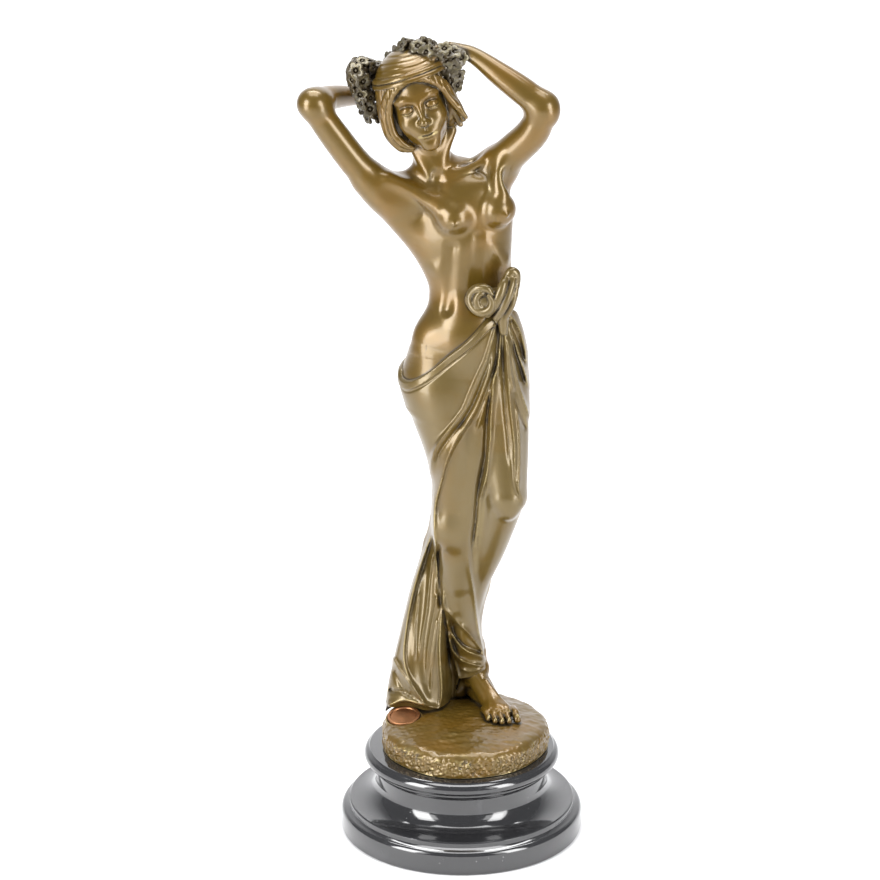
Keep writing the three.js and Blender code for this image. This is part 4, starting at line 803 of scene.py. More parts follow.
# Folds are drawn on a plane that leans back by this slope, as they are seen from a step away
VIEW_SLOPE = 0.37
VIEW_DEPTH = 18
front_folds = Relief([
    fold([(20, 280), (17, 267.4), (14.2, 257.2), (11.6, 247.8), (7.6, 238.4), (4.1, 229.8), (1, 222.1),
          (-5.8, 212.6), (-12.7, 203.1), (-15.6, 194.4), (-16, 180)], 2.1, 1.1, 2.2),
    fold([(18, 258), (15.5, 247.8), (12.7, 239.3), (9.9, 230.7), (5.9, 220.4), (0.7, 211.8), (-3.8, 204),
          (-7.9, 194.4), (-10.3, 184.8), (-13.4, 172), (-14, 160)], 2.3, 2.2, 0.9),
    fold([(15.4, 258.9), (12.7, 245.3), (9.1, 235), (5.1, 224.7), (0.2, 216.1), (-6.2, 207.4), (-11.5, 198.8),
          (-13.6, 188.3)], -0.9, 0.9, 0.9),
    fold([(19, 256), (17.9, 246.1), (15.5, 237.6), (12.4, 228.1), (9.2, 217.8), (6.3, 208.3)], 1.3, 1.1, 0.9),
    fold([(20.9, 276), (20.9, 269.1), (21.7, 255.5), (23, 237.6), (24.4, 220.4), (26.3, 203.1), (26.8, 184.8),
          (29.3, 176.5), (32.1, 168)], 2, 0.9, 2.4),
    fold([(19.7, 262), (19.9, 250.4), (20.6, 237.6), (21.7, 220.4), (23.2, 204.8), (24.3, 188)], -1, 1.2,
         0.8),
    fold([(16.6, 246), (15.2, 232), (14.2, 216.9), (14.1, 207.4), (13.3, 198.8), (12.6, 190), (11, 182),
          (8.4, 172)],
         2.3, 0.8, 1.5),
    fold([(14.8, 240), (13.4, 228), (12.4, 217.8), (12, 207.4), (11.5, 197), (9.3, 184.8), (7.8, 175.6),
          (6.9, 162.8), (5.3, 148), (6.1, 130)], -1.6, 1.5, 1.1),
    fold([(22, 276), (23.4, 273.3), (27, 268.2), (29.5, 262.3), (31.4, 254), (32, 248)], 1.2, 0.8, 1.2),
    fold([(23.6, 271), (24.2, 267.4), (27.1, 260.6), (29.6, 253.8), (31.2, 244)], -1.6, 1.2, 1.2),
    fold([(21.6, 274), (23, 268.2), (25.9, 258.9), (28.4, 250.4), (31.3, 241.8), (34.2, 232)], 1.5, 0.9, 1.1),
    fold([(23.6, 262), (24.7, 253.8), (26.4, 243.5), (28.9, 233.3), (32.2, 223.8), (34.6, 216)], 1.6, 1.2, 1),
    fold([(24.6, 260), (25.9, 253.8), (28.8, 245.3), (31.3, 235)], -1.4, 1, 1.2),
    fold([(22.7, 262), (22.9, 253.8), (24.8, 237.6), (27.8, 220.4), (29.1, 203.1), (28.8, 184.8), (28, 174)],
         1.3, 1, 1.5),
    fold([(25.6, 234), (26.5, 228.1), (29, 220.4), (32.3, 210)], -1.3, 1, 1.2),
    fold([(18.2, 270), (17.8, 264), (16.7, 250.4), (14.7, 238)], -1.5, 1.4, 1.2),
    fold([(19.6, 276), (19, 262), (18.4, 250), (18, 238)], 0.8, 0.7, 0.7),
])
shin_folds = Relief([
    fold([(-13.6, 184), (-14.5, 168), (-14, 151), (-12.7, 136.1), (-11.2, 122.1), (-8.6, 113.1),
          (-3.1, 106.1), (3.9, 98.6), (10, 90), (12.8, 82)], 1.5, 0.8, 1.7),
    fold([(-11.4, 150), (-12, 140.1), (-11.2, 124.1), (-9.6, 111.1), (-8.1, 100.1), (-7, 88), (-6, 72)],
         -3.4, 1.4, 0.9),
    fold([(-8, 107), (-6.8, 103.1), (-3, 95), (3, 89), (9.1, 86.5), (13.6, 83)], 1.9, 1.5, 0.9),
    fold([(-4, 99), (0, 93.4), (6, 90), (11, 87.5)], -0.9, 0.9, 0.9),
    fold([(-6.6, 96), (-5.4, 92), (-2.1, 85.4), (4.4, 81.9), (12, 80.4)], 1.3, 1.3, 0.8),
    fold([(-7.4, 101), (-6.3, 95), (-4.4, 85.9), (-2.5, 77.8), (-0.8, 69)], 1.5, 0.8, 1.4),
    fold([(2, 148), (3.9, 136.1), (6.2, 122.1), (7.7, 109.1), (9.9, 96), (12.8, 84)], 0.9, 1.4, 0.8),
    fold([(-1, 79), (4, 77.4), (9, 78.4), (13, 80)], 0.7, 0.8, 0.8),
])
tail_folds = Relief([
    fold([(-13.6, 162), (-15.1, 155.9), (-19.7, 142), (-24.1, 126.1), (-27.3, 111.1), (-29.2, 98.1),
          (-30, 88), (-29.1, 79.9), (-25.5, 71.2), (-20.7, 63.6), (-17, 56)], 2.6, 1.6, 0.8),
    fold([(-17, 148), (-19.7, 142), (-25.7, 123.1), (-29.9, 106.1), (-32.7, 92), (-35, 82)], 0.9, 1.3, 1),
    fold([(-36, 86), (-34.6, 82.9), (-30.5, 76.3), (-25.4, 68.7), (-20.7, 62.6), (-17, 57)], 1.8, 1.4, 1),
    fold([(-9.6, 124), (-9.7, 117.1), (-10.6, 106.1), (-11.4, 94), (-11.2, 82.9), (-10.3, 71.8),
          (-10.4, 62.6), (-12.6, 55)], 2.6, 0.9, 1.3),
    fold([(-14.6, 146), (-16.9, 132.1), (-19.2, 116.1), (-20.6, 101.1), (-20.8, 88), (-20, 72), (-18, 60)],
         -2.6, 4.4, 4.2, 2),
    fold([(-14, 148), (-15.5, 140.1), (-16.9, 126.1), (-18.3, 111.1), (-20.7, 96), (-22.1, 82)], 1.1, 0.9, 1),
    fold([(-12.6, 122), (-13.2, 116.1), (-15.6, 103.1), (-17.4, 90), (-18.4, 74)], 1.1, 0.9, 1.2),
    fold([(-12.4, 108), (-12.8, 103.1), (-14.6, 90), (-15.6, 75.8), (-16, 62)], 0.9, 0.8, 1),
    fold([(-22, 124), (-23.5, 110), (-24.4, 96), (-24.6, 82)], 0.7, 1, 0.8),
    fold([(-40, 60), (-37.3, 59.4), (-31, 60.4), (-23.5, 60.4), (-16.1, 58.4), (-7, 56)], 1.9, 1.2, 1.6),
    fold([(-5.4, 112), (-5.6, 100), (-5.4, 88), (-4.8, 74), (-4.4, 56), (-4.2, 44)], -5, 2.6, 3.4, 2),
    fold([(-38, 68), (-35.6, 66.6), (-30.5, 66.4), (-24, 63)], -1.5, 1.6, 1.4),
    fold([(-35, 79), (-33.7, 75.8), (-31, 69.7), (-27.7, 65)], -1.1, 1.4, 1.2),
])
back_folds = Relief([
    fold([(x * 0.95, 262 - 4 * (i % 2)), (x, 236), (x, 200), (x * 0.8 - 3, 140), (x * 0.85 - 11, 52)],
         1.7 + 0.5 * (i % 3), 1.6 + 0.5 * (i % 2), 2.4)
    for i, x in enumerate((-21, -15, -8.5, -2, 5, 11.5, 18, 24.5))
])

knot_heart = [
    strand([(5.5, -3.4, 288.1, 4.4), (11, -5, 288.8, 5.6), (17.4, -5, 289.6, 5.4), (23.7, -3, 291.4, 4.2)]),
    strand([(17.4, -3.5, 285, 4), (19.8, -4.5, 279.4, 3), (20.4, -5, 272, 2)]),
]
knot_rolls = [
    strand([(14.4, -10.6, 293.4, 1.2), (12.1, -10.2, 296, 2), (7.8, -8.7, 296, 2.3), (4.8, -7, 293.2, 2.4),
            (4, -6.6, 289.2, 2.5), (5.8, -7.9, 285.3, 2.5), (9.8, -9.6, 283.6, 2.5),
            (13.4, -10.7, 285.6, 2.2), (14.5, -11.2, 289.6, 1.7), (13, -11.8, 293, 1.2)]),
    strand([(11, -9, 285.8, 1.1), (8, -9.6, 286.6, 1.7), (6.8, -9.4, 290, 1.9), (8.6, -9.9, 293.4, 1.6),
            (11.6, -9.6, 293.2, 0.9)]),
    strand([(10.6, -8.4, 293.4, 1), (9.6, -8.2, 290, 1.2), (10.4, -8.2, 286.6, 1)]),
    strand([(12.4, -7, 281.8, 1.9), (15.8, -9.2, 287.3, 2.4), (18.4, -9.6, 293.4, 2.5),
            (20.2, -7.9, 298, 2.2), (21.2, -5.6, 300.2, 1.5)]),
    strand([(16.8, -6.8, 279.8, 1.8), (20.2, -8.4, 286.4, 2.3), (22.5, -8, 292.4, 2.3),
            (24.2, -6.2, 296.6, 2.1), (25, -4.6, 299.4, 1.7)]),
    strand([(20.8, -5.8, 279.2, 1.6), (23.8, -5.8, 285.4, 2), (25.4, -5, 290.6, 2), (26.3, -3.8, 295, 1.8)]),
]
knot_loop = strand([(23.4, -4.2, 296.2, 2.2), (22.9, -3.9, 300.5, 2.4), (24.2, -3.4, 302.6, 2.6),
                    (26, -3, 301.8, 2.5), (26.6, -2.6, 299, 2.3), (26.2, -2.4, 295, 2.3)])


def hem_level(x, y):
    """The hem is above the right ankle, and down on the ground everywhere else."""
    at_ankle = smooth(x, -5, -1) * (1 - smooth(y, 30, 37))
    return 48 + (24 + 0.35 * np.maximum(x, 0)) * at_ankle


# Where each set of folds starts and ends fading, in depth or height
FRONT_DEPTHS = (12, 20)
FRONT_LEVELS = (120, 165)
SHIN_DEPTHS = (26, 32)
TAIL_DEPTHS = (26, 36)
TAIL_LEVELS = (140, 160)
BACK_DEPTHS = (24, 30)


def cloth_form(p):
    if p.low[2] > CLOTH_TOP:
        return None
    body = nude_form(p)
    if body is None:
        return None
    seen = p.z + (p.y - VIEW_DEPTH) * VIEW_SLOPE
    angle = np.degrees(np.arctan2(p.y - HIP_AXIS[1], p.x - HIP_AXIS[0]))
    above = p.z - cloth_edge(angle, 0)
    d = built(p, (5, lap), (8, back_cloth), (5, tail), start=body) - CLOTH_THICKNESS
    front = 1 - smooth(p.y, *FRONT_DEPTHS)
    low = 1 - smooth(p.z, *FRONT_LEVELS)
    lift = front_folds(p.x, seen) * front * (1 - low)
    lift = lift + shin_folds(p.x, seen) * (1 - smooth(p.y, *SHIN_DEPTHS))
    lift = lift + tail_folds(p.x, seen) * (1 - smooth(p.z, *TAIL_LEVELS)) * (1 - smooth(p.y, *TAIL_DEPTHS))
    lift = lift + back_folds(p.x, p.z) * smooth(p.y, *BACK_DEPTHS)
    band = smooth(-above, 0.2, 1.6) * (1 - smooth(-above, BAND_WIDTH - 0.9, BAND_WIDTH))
    band = BAND_HEIGHT * band * (1 - smooth(p.x, 14, 22) * front)
    band = band - 0.4 * np.exp(-((above + BAND_WIDTH + 0.6) / 0.8) ** 2) * (1 - smooth(p.x, 8, 16) * front)
    d = d - lift - band
    d = common(d, above, 0.8)
    d = common(d, hem_level(p.x, p.y) - p.z, 0.8)
    return built(
        p, (-2, tail_gap), (2, *knot_heart), (0.45, *knot_rolls), (0.8, knot_loop), (-2, seal_room), start=d)


def round_the_seal(p):
    px, py, pz = p.x - seal_centre.x, p.y - seal_centre.y, p.z - seal_centre.z
    height = px * seal_axis.x + py * seal_axis.y + pz * seal_axis.z
    return np.sqrt(np.maximum(px * px + py * py + pz * pz - height * height, 0)), height


def ground_form(p):
    """The low rock, with a broken band round its side and swept tool marks on top."""
    if p.low[2] > CASTING_FLOOR + GROUND_CROWN + 8:
        return None
    px = p.x - GROUND_OFFSET
    radius = np.sqrt(px * px + p.y * p.y)
    angle = np.arctan2(p.y, px)
    wave = 0.5 * np.sin(3 * angle + 0.6) + 0.35 * np.sin(7 * angle + 2)
    edge = CASTING_FLOOR + GROUND_EDGE
    rise = (GROUND_CROWN - GROUND_EDGE) * (1 - np.minimum(radius / GROUND_RADIUS, 1) ** 2.4)
    side = radius - GROUND_RADIUS - wave
    band = smooth(p.z, CASTING_FLOOR, CASTING_FLOOR + BAND_FOOT)
    band = band * (1 - smooth(p.z, edge - BAND_SHOULDER, edge))
    chips = 0.4 * ripple(p, 3.2, 3) + 0.36 * ripple(p, 1.25, 4, 12)
    drawn = Patch(p.x * 0.5 + 3 * ripple(p, 14, 12, 4), p.y + 3 * ripple(p, 12, 13, 4), p.z)
    marks = 0.16 * ripple(drawn, 3.6, 8, 5) + 0.3 * ripple(p, 6.5, 9) + 0.13 * ripple(p, 2.1, 6, 18)
    top = p.z - edge - rise - marks
    rock = common(side - chips * band, top, GROUND_ROUNDING)
    reach, height = round_the_seal(p)
    seat = common(reach - SEAL_RADIUS - SEAT_LIP, np.maximum(height - SEAT_RISE, -height - SEAT_DEPTH), 0.6)
    rock = join(rock, seat, 1)
    rock = carve(rock, np.maximum(reach - SEAL_RADIUS - SEAL_GAP, -height - SEAL_GAP), 0.2)
    return np.maximum(rock, CASTING_FLOOR - p.z)


SHIFT = (0, 0, SOLE_LEVEL - TABLE_SOLE)


def in_tables(form):
    """A form drawn in the table's heights, set in the part's frame."""
    return lambda p: form(p.moved(SHIFT))


# The front and back pieces of the cloth meet at this depth
CLOTH_SEAM = 24
SKIN, HEAD_ZONE, CLOTH, GARLAND = map(in_tables, (skin_form, head_zone, cloth_form, garland_form))
GROUND = ground_form
ALL_FORMS = (SKIN, CLOTH, GARLAND, GROUND)


# How a mesh is made: its quick fineness, how its points settle, and how far away hollows are felt
BLOCK_MARGIN = 2.5
FAR_OUTSIDE = 99
SETTLING_STEPS = 2
LEAST_STEEPNESS = 0.09
HOLLOW_REACHES = (("hollow", 1.8), ("crease", 0.6))
WORN_DEPTH = 0.8
KEY_STEPS = (1000003, 1009, 1)


def settled(form, p, default=NEAR):
    d = form(p)
    return np.full(p.x.shape, float(default)) if d is None else d


def sampled(form, low, high, cell, block=16):
    """Distances on a grid, worked out only in the blocks that the surface may cross."""
    low = np.array(low, float)
    blocks = np.ceil((np.array(high) - low) / (cell * block)).astype(int)
    centres = [low[a] + (np.arange(blocks[a]) + 0.5) * block * cell for a in range(3)]
    grid = np.meshgrid(*centres, indexing="ij")
    coarse = settled(form, Patch(*(g.ravel() for g in grid)), FAR_OUTSIDE).reshape(blocks)
    reach = block * cell * math.sqrt(3) / 2 + BLOCK_MARGIN
    values = np.sign(coarse) * NEAR
    for axis in range(3):
        values = np.repeat(values, block, axis)
    values = values.astype(np.float32)
    for i, j, k in np.argwhere(np.abs(coarse) < reach):
        start = np.array((i, j, k)) * block
        axes = [low[a] + (start[a] + np.arange(block)) * cell for a in range(3)]
        points = np.meshgrid(*axes, indexing="ij")
        d = settled(form, Patch(*(g.ravel() for g in points)))
        values[tuple(slice(first, first + block) for first in start)] = d.reshape((block,) * 3)
    return values


CORNERS = [(i, j, k) for i in (0, 1) for j in (0, 1) for k in (0, 1)]
EDGES = [
    (a, b) for a in CORNERS for b in CORNERS
    if sum(b) - sum(a) == 1 and all(q >= p for p, q in zip(a, b))
]


def netted(values, low, cell):
    """A mesh of squares over the zero surface of a grid: one corner in each crossed cell."""
    inside = values < 0
    shape = np.array(values.shape) - 1
    views = [inside[i:shape[0] + i, j:shape[1] + j, k:shape[2] + k] for i, j, k in CORNERS]
    count = np.zeros(shape, np.uint8)
    for view in views:
        count += view
    cells = np.argwhere((count > 0) & (count < len(CORNERS)))
    place = np.zeros(cells.shape)
    crossings = np.zeros(len(cells))
    for a, b in EDGES:
        va = values[tuple((cells + a).T)]
        vb = values[tuple((cells + b).T)]
        cut = (va < 0) != (vb < 0)
        t = np.where(cut, va / np.where(cut, va - vb, 1), 0)
        place += cut[:, None] * (np.array(a) + t[:, None] * (np.array(b) - np.array(a)))
        crossings += cut
    points = np.array(low) + (cells + place / crossings[:, None]) * cell
    number = np.full(shape, -1, np.int64)
    number[tuple(cells.T)] = np.arange(len(cells))
    squares = []
    for axis in range(3):
        others = [a for a in range(3) if a != axis]
        start = [slice(1, shape[a]) for a in range(3)]
        start[axis] = slice(0, shape[axis])
        ahead = list(start)
        ahead[axis] = slice(1, shape[axis] + 1)
        first, second = inside[tuple(start)], inside[tuple(ahead)]
        edges = np.argwhere(first != second)
        edges[:, others] += 1
        outward = inside[tuple(edges.T)]
        u, v = np.eye(3, dtype=int)[others[0]], np.eye(3, dtype=int)[others[1]]
        square = np.stack([number[tuple((edges - step).T)] for step in (u * 0, u, u + v, v)], 1)
        flip = outward == (axis == 1)
        square[flip] = square[flip][:, ::-1]
        squares.append(square[(square >= 0).all(1)])
    return points, np.concatenate(squares)


def grouped(points, size=8.0):
    """Sets of points that lie close together, so that far forms can be skipped."""
    keys = np.floor(points / size).astype(np.int64)
    keys = keys @ np.array(KEY_STEPS)
    order = np.argsort(keys, kind="stable")
    return np.split(order, np.flatnonzero(np.diff(keys[order])) + 1)


TETRAHEDRON = np.array([(1, -1, -1), (-1, -1, 1), (-1, 1, -1), (1, 1, 1)], float)


def slope_and_value(form, points, step=0.04):
    """The outward direction and the distance at points."""
    value = np.zeros(len(points))
    slope = np.zeros(points.shape)
    for group in grouped(points):
        where = points[group]
        probes = (where[None] + step * TETRAHEDRON[:, None]).reshape(-1, 3)
        d = settled(form, Patch(*probes.T)).reshape(4, -1)
        slope[group] = np.einsum("ij,ik->jk", d, TETRAHEDRON) / (4 * step)
        value[group] = d.mean(0)
    return slope, value


def value_at(form, points, default=NEAR):
    value = np.zeros(len(points))
    for group in grouped(points):
        value[group] = settled(form, Patch(*points[group].T), default)
    return value


def whole(p):
    d = None
    for form in ALL_FORMS:
        d = nearest(d, form(p))
    return d


def shown(name, data):
    """A new object in the scene, with its mesh, light or camera."""
    piece = bpy.data.objects.new(name, data)
    bpy.context.scene.collection.objects.link(piece)
    return piece


# The room that each piece is worked out in, in millimetres
ROOMS = {
    "body": ((-85, -46, 50), (56, 52, 426)),
    "head": ((-50, -14, 346), (6, 40, 418)),
    "cloth": ((-48, -22, 52), (42, 27, 312)),
    "cloth_back": ((-48, 20, 52), (42, 50, 312)),
    "garland": ((-62, 2, 366), (4, 40, 424)),
    "ground": ((-46, -48, CASTING_FLOOR - 1), (50, 48, 66)),
}


def cast(name, form, cell, keep=None, floor=None):
    """A mesh object over a form, set on its surface, with smooth normals and its hollows marked."""
    low, high = ROOMS[name]
    points, squares = netted(sampled(form, low, high, cell), low, cell)
    if keep is not None:
        kept = keep(points)
        squares = squares[kept[squares].all(1)]
        used = np.unique(squares)
        renumber = np.zeros(len(points), np.int64)
        renumber[used] = np.arange(len(used))
        points, squares = points[used], renumber[squares]
    for _ in range(SETTLING_STEPS):
        slope, value = slope_and_value(form, points)
        steep = np.maximum((slope ** 2).sum(1), LEAST_STEEPNESS)
        points = points - slope * np.clip(value / steep, -cell, cell)[:, None]
    slope, value = slope_and_value(form, points)
    normals = slope / np.maximum(np.linalg.norm(slope, axis=1), 1e-9)[:, None]
    if floor is not None:
        points[:, 2] = np.maximum(points[:, 2], floor)
    mesh = bpy.data.meshes.new(name)
    mesh.vertices.add(len(points))
    mesh.vertices.foreach_set("co", (points * MM).astype(np.float32).ravel())
    mesh.loops.add(squares.size)
    mesh.loops.foreach_set("vertex_index", squares.astype(np.int32).ravel())
    mesh.polygons.add(len(squares))
    mesh.polygons.foreach_set("loop_start", (np.arange(len(squares)) * 4).astype(np.int32))
    mesh.polygons.foreach_set("use_smooth", np.ones(len(squares), bool))
    mesh.update(calc_edges=True)
    mesh.normals_split_custom_set_from_vertices(normals.astype(np.float32))
    marks = {label: 1 - value_at(whole, points + normals * reach) / reach for label, reach in HOLLOW_REACHES}
    marks["worn"] = 1 + value_at(form, points - normals * WORN_DEPTH, -WORN_DEPTH) / WORN_DEPTH
    for label, strength in marks.items():
        attribute = mesh.attributes.new(label, "FLOAT", "POINT")
        attribute.data.foreach_set("value", np.clip(strength, 0, 1).astype(np.float32))
    return shown(name, mesh)


class Wire:
    """A number on its way between shader nodes. Arithmetic on it adds Math nodes."""

    def __init__(self, recipe, socket):
        self.recipe = recipe
        self.socket = socket

    def _with(self, operation, *values):
        node = self.recipe.node("ShaderNodeMath", {"operation": operation}, dict(enumerate(values)))
        return Wire(self.recipe, node.outputs[0])

    def __add__(self, other):
        return self._with("ADD", self, other)

    def __radd__(self, other):
        return self._with("ADD", other, self)

    def __sub__(self, other):
        return self._with("SUBTRACT", self, other)

    def __rsub__(self, other):
        return self._with("SUBTRACT", other, self)

    def __mul__(self, other):
        return self._with("MULTIPLY", self, other)

    def __rmul__(self, other):
        return self._with("MULTIPLY", other, self)

    def between(self, low, high):
        """0 below low, 1 above high, smooth between them."""
        node = self.recipe.node(
            "ShaderNodeMapRange", {"interpolation_type": "SMOOTHSTEP"},
            {"Value": self, "From Min": low, "From Max": high},
        )
        return Wire(self.recipe, node.outputs[0])


class Recipe:
    """A material under construction."""

    def __init__(self, name):
        self.material = bpy.data.materials.new(name)
        self.material.use_nodes = True
        self.tree = self.material.node_tree
        self.tree.nodes.clear()

    def node(self, kind, settings=None, inputs=None):
        node = self.tree.nodes.new(kind)
        for key, value in (settings or {}).items():
            setattr(node, key, value)
        for key, value in (inputs or {}).items():
            socket = node.inputs[key]
            if isinstance(value, Wire):
                self.tree.links.new(value.socket, socket)
            elif isinstance(value, bpy.types.NodeSocket):
                self.tree.links.new(value, socket)
            else:
                socket.default_value = value
        return node

    def mixed(self, share, first, second):
        """A colour between two colours, by the Mix node's inputs and output for colours."""
        return self.node("ShaderNodeMix", {"data_type": "RGBA"}, {0: share, 6: first, 7: second}).outputs[2]

    def noise(self, place, scale, detail=3.0, roughness=0.5, distortion=0.0):
        node = self.node("ShaderNodeTexNoise", None, {
            "Vector": place, "Scale": scale, "Detail": detail, "Roughness": roughness,
            "Distortion": distortion,
        })
        return Wire(self, node.outputs["Fac"])

    def marked(self, label):
        node = self.node("ShaderNodeAttribute", {"attribute_name": label})
        return Wire(self, node.outputs["Fac"])

    def place(self):
        return self.node("ShaderNodeTexCoord").outputs["Object"]

    def bump(self, height, strength, distance):
        node = self.node("ShaderNodeBump", None,
                         {"Strength": strength, "Distance": distance, "Height": height})
        return node.outputs["Normal"]

    def finish(self, **inputs):
        inputs = {key.replace("_", " "): value for key, value in inputs.items()}
        shader = self.node("ShaderNodeBsdfPrincipled", None, inputs)
        out = self.node("ShaderNodeOutputMaterial")
        self.tree.links.new(shader.outputs["BSDF"], out.inputs["Surface"])
        return self.material


def colour(values):
    return (*tuple(values)[:3], 1.0)


LACQUER = {"Coat_Weight": 0.5, "Coat_Roughness": 0.14, "Coat_IOR": 1.55}
POLISH = {"Coat_Weight": 0.45, "Coat_Roughness": 0.04, "IOR": 1.75}


def bronze(name, body, hollow, worn, warm=None, grain=0.0, matt=0.0):
    """Patinated, lacquered bronze: darker in hollows, paler where hands have worn it."""
    r = Recipe(name)
    place = r.place()
    broad = r.noise(place, 38, 3, 0.55, 0.4)
    fine = r.noise(place, 260, 4, 0.6)
    tone = r.mixed(broad.between(0.42, 0.66), colour(body), colour(warm or body))
    deep = (r.marked("hollow") * 1.15 + r.marked("crease") * 0.35 + (fine - 0.5) * 0.25).between(0.3, 1.1)
    tone = r.mixed(deep, tone, colour(hollow))
    rubbed = (r.marked("worn") * 1.2 + (fine - 0.5) * 0.3 - deep * 0.6).between(0.2, 0.72)
    tone = r.mixed(rubbed * 0.8, tone, colour(worn))
    rough = 0.27 + matt + broad * 0.09 + deep * 0.16 + (fine - 0.5) * 0.05
    bump = r.bump(fine, 0.05 + grain, 0.0004)
    return r.finish(Base_Color=tone, Metallic=0.4 + 0.3 * rubbed, Roughness=rough, Normal=bump, **LACQUER)


def polished_marble(name, ground, vein, speck):
    """Near-black polished marble with faint veins and tiny pale specks."""
    r = Recipe(name)
    place = r.place()
    drift = r.noise(place, 22, 5, 0.6, 1.2)
    lines = r.noise(place, 14, 6, 0.62, 2.2)
    veins = (1 - ((lines - 0.5) * (lines - 0.5) * 900)).between(0.0, 1.0) * drift.between(0.5, 0.72)
    dots = r.node("ShaderNodeTexVoronoi", {"feature": "F1"},
                  {"Vector": place, "Scale": 420.0, "Randomness": 1.0})
    spot = 1 - Wire(r, dots.outputs["Distance"]).between(0.06, 0.16)
    spot = spot * r.noise(place, 90, 2).between(0.56, 0.66)
    tone = r.mixed(veins * 0.35, colour(ground), colour(vein))
    tone = r.mixed(spot * 0.55, tone, colour(speck))
    return r.finish(Base_Color=tone, Metallic=0.0, Roughness=0.085 + drift * 0.05, **POLISH)


def copper(name, body, hollow):
    r = Recipe(name)
    place = r.place()
    fine = r.noise(place, 420, 4, 0.6)
    broad = r.noise(place, 120, 3, 0.5)
    tone = r.mixed(broad.between(0.4, 0.7), colour(body), colour(hollow))
    return r.finish(Base_Color=tone, Metallic=0.95, Roughness=0.34 + fine * 0.12,
                    Normal=r.bump(fine, 0.12, 0.0003))


def length(name, description, default):
    return bpy.props.FloatProperty(name=name, description=description, default=default, unit="LENGTH")


def tint(name, description, *default):
    return bpy.props.FloatVectorProperty(
        name=name, description=description, default=default, subtype="COLOR", size=3)


class GarlandGirlSizes(bpy.types.PropertyGroup):
    """Sizes that a user would change."""

    skin_cell: length("Skin fineness", "Distance between points on the skin", 0.72 * MM)
    head_cell: length("Head fineness", "Distance between points on the face and hair", 0.42 * MM)
    cloth_cell: length("Cloth fineness", "Distance between points on the front of the cloth", 0.62 * MM)
    back_cell: length("Back fineness", "Distance between points on the back of the cloth", 0.9 * MM)
    garland_cell: length("Garland fineness", "Distance between points on the flowers", 0.46 * MM)
    ground_cell: length("Ground fineness", "Distance between points on the rock", 0.5 * MM)
    floor_reach: length("Floor", "Half the width of the floor", 3.0)


class GarlandGirlColours(bpy.types.PropertyGroup):
    """Colours of the metal and the stone."""

    bronze: tint("Bronze", "Skin and ground of the bronze", 0.122, 0.072, 0.008)
    warm_bronze: tint("Warm bronze", "Warmer clouds in the patina", 0.148, 0.078, 0.006)
    dark_bronze: tint("Dark bronze", "Patina in the hollows", 0.05, 0.034, 0.013)
    worn_bronze: tint("Worn bronze", "Edges rubbed bright", 0.31, 0.24, 0.1)
    cloth_bronze: tint("Cloth bronze", "Paler, greyer bronze of the cloth", 0.124, 0.084, 0.022)
    flower_bronze: tint("Flower bronze", "Dark olive bronze of the garland", 0.06, 0.049, 0.024)
    worn_flower: tint("Worn flower", "Edges of the petals", 0.15, 0.125, 0.065)
    marble: tint("Marble", "Ground of the marble", 0.016, 0.016, 0.017)
    vein: tint("Vein", "Faint veins in the marble", 0.07, 0.07, 0.075)
    speck: tint("Speck", "Pale specks in the marble", 0.5, 0.5, 0.5)
    copper: tint("Copper", "The seal's metal", 0.36, 0.17, 0.08)
    dark_copper: tint("Dark copper", "Clouds in the seal's metal", 0.27, 0.13, 0.06)


def sizes():
    return bpy.context.scene.garland_girl_sizes


def colours():
    return bpy.context.scene.garland_girl_colours


def dress(piece, material, node):
    """Gives a piece its material and its place in the part."""
    piece.data.materials.clear()
    piece.data.materials.append(material)
    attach(piece, "root")
    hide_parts(node)


def skin_bronze(name, grain=0.0, matt=0.0):
    """The metal of her skin, her hair and the ground."""
    c = colours()
    return bronze(name, c.bronze, c.dark_bronze, c.worn_bronze, c.warm_bronze, grain, matt)


# How far each piece of the casting runs on under or past its neighbour
OVERLAP = 0.9
HEAD_OVERLAP = 0.5
GARLAND_OVERLAP = 0.8
SEAM_OVERLAP = 0.7


def outside(form, points, overlap=OVERLAP):
    """Which points are no deeper than the overlap in a neighbour's form."""
    return value_at(form, points) > -overlap


class GARLAND_OT_skin(bpy.types.Operator):
    """Adds her body, arms and foot"""

    bl_idname = "garland.skin"
    bl_label = "Body, arms and foot"

    def execute(self, context):
        def seen(points):
            return outside(CLOTH, points) & outside(HEAD_ZONE, points) & outside(GROUND, points)

        body = cast("body", SKIN, sizes().skin_cell / MM, seen)
        dress(body, skin_bronze("skin bronze"), "bronze_figure")
        return {"FINISHED"}


class GARLAND_OT_head(bpy.types.Operator):
    """Adds her head, hair and neck"""

    bl_idname = "garland.head"
    bl_label = "Head and hair"

    def execute(self, context):
        def seen(points):
            return (value_at(HEAD_ZONE, points) < HEAD_OVERLAP) & outside(GARLAND, points, GARLAND_OVERLAP)

        head = cast("head", SKIN, sizes().head_cell / MM, seen)
        dress(head, skin_bronze("head bronze"), "bronze_figure")
        return {"FINISHED"}


class GARLAND_OT_cloth(bpy.types.Operator):
    """Adds the cloth with its band, knot, folds and tail"""

    bl_idname = "garland.cloth"
    bl_label = "Cloth"

    def execute(self, context):
        c = colours()
        front = cast("cloth", CLOTH, sizes().cloth_cell / MM,
                     lambda points: outside(GROUND, points) & (points[:, 1] < CLOTH_SEAM + SEAM_OVERLAP))
        back = cast("cloth_back", CLOTH, sizes().back_cell / MM,
                    lambda points: outside(GROUND, points) & (points[:, 1] > CLOTH_SEAM - SEAM_OVERLAP))
        patina = bronze("cloth bronze", c.cloth_bronze, c.dark_bronze, c.worn_bronze, c.bronze, 0.02, 0.02)
        for piece in (front, back):
            dress(piece, patina, "bronze_figure")
        return {"FINISHED"}


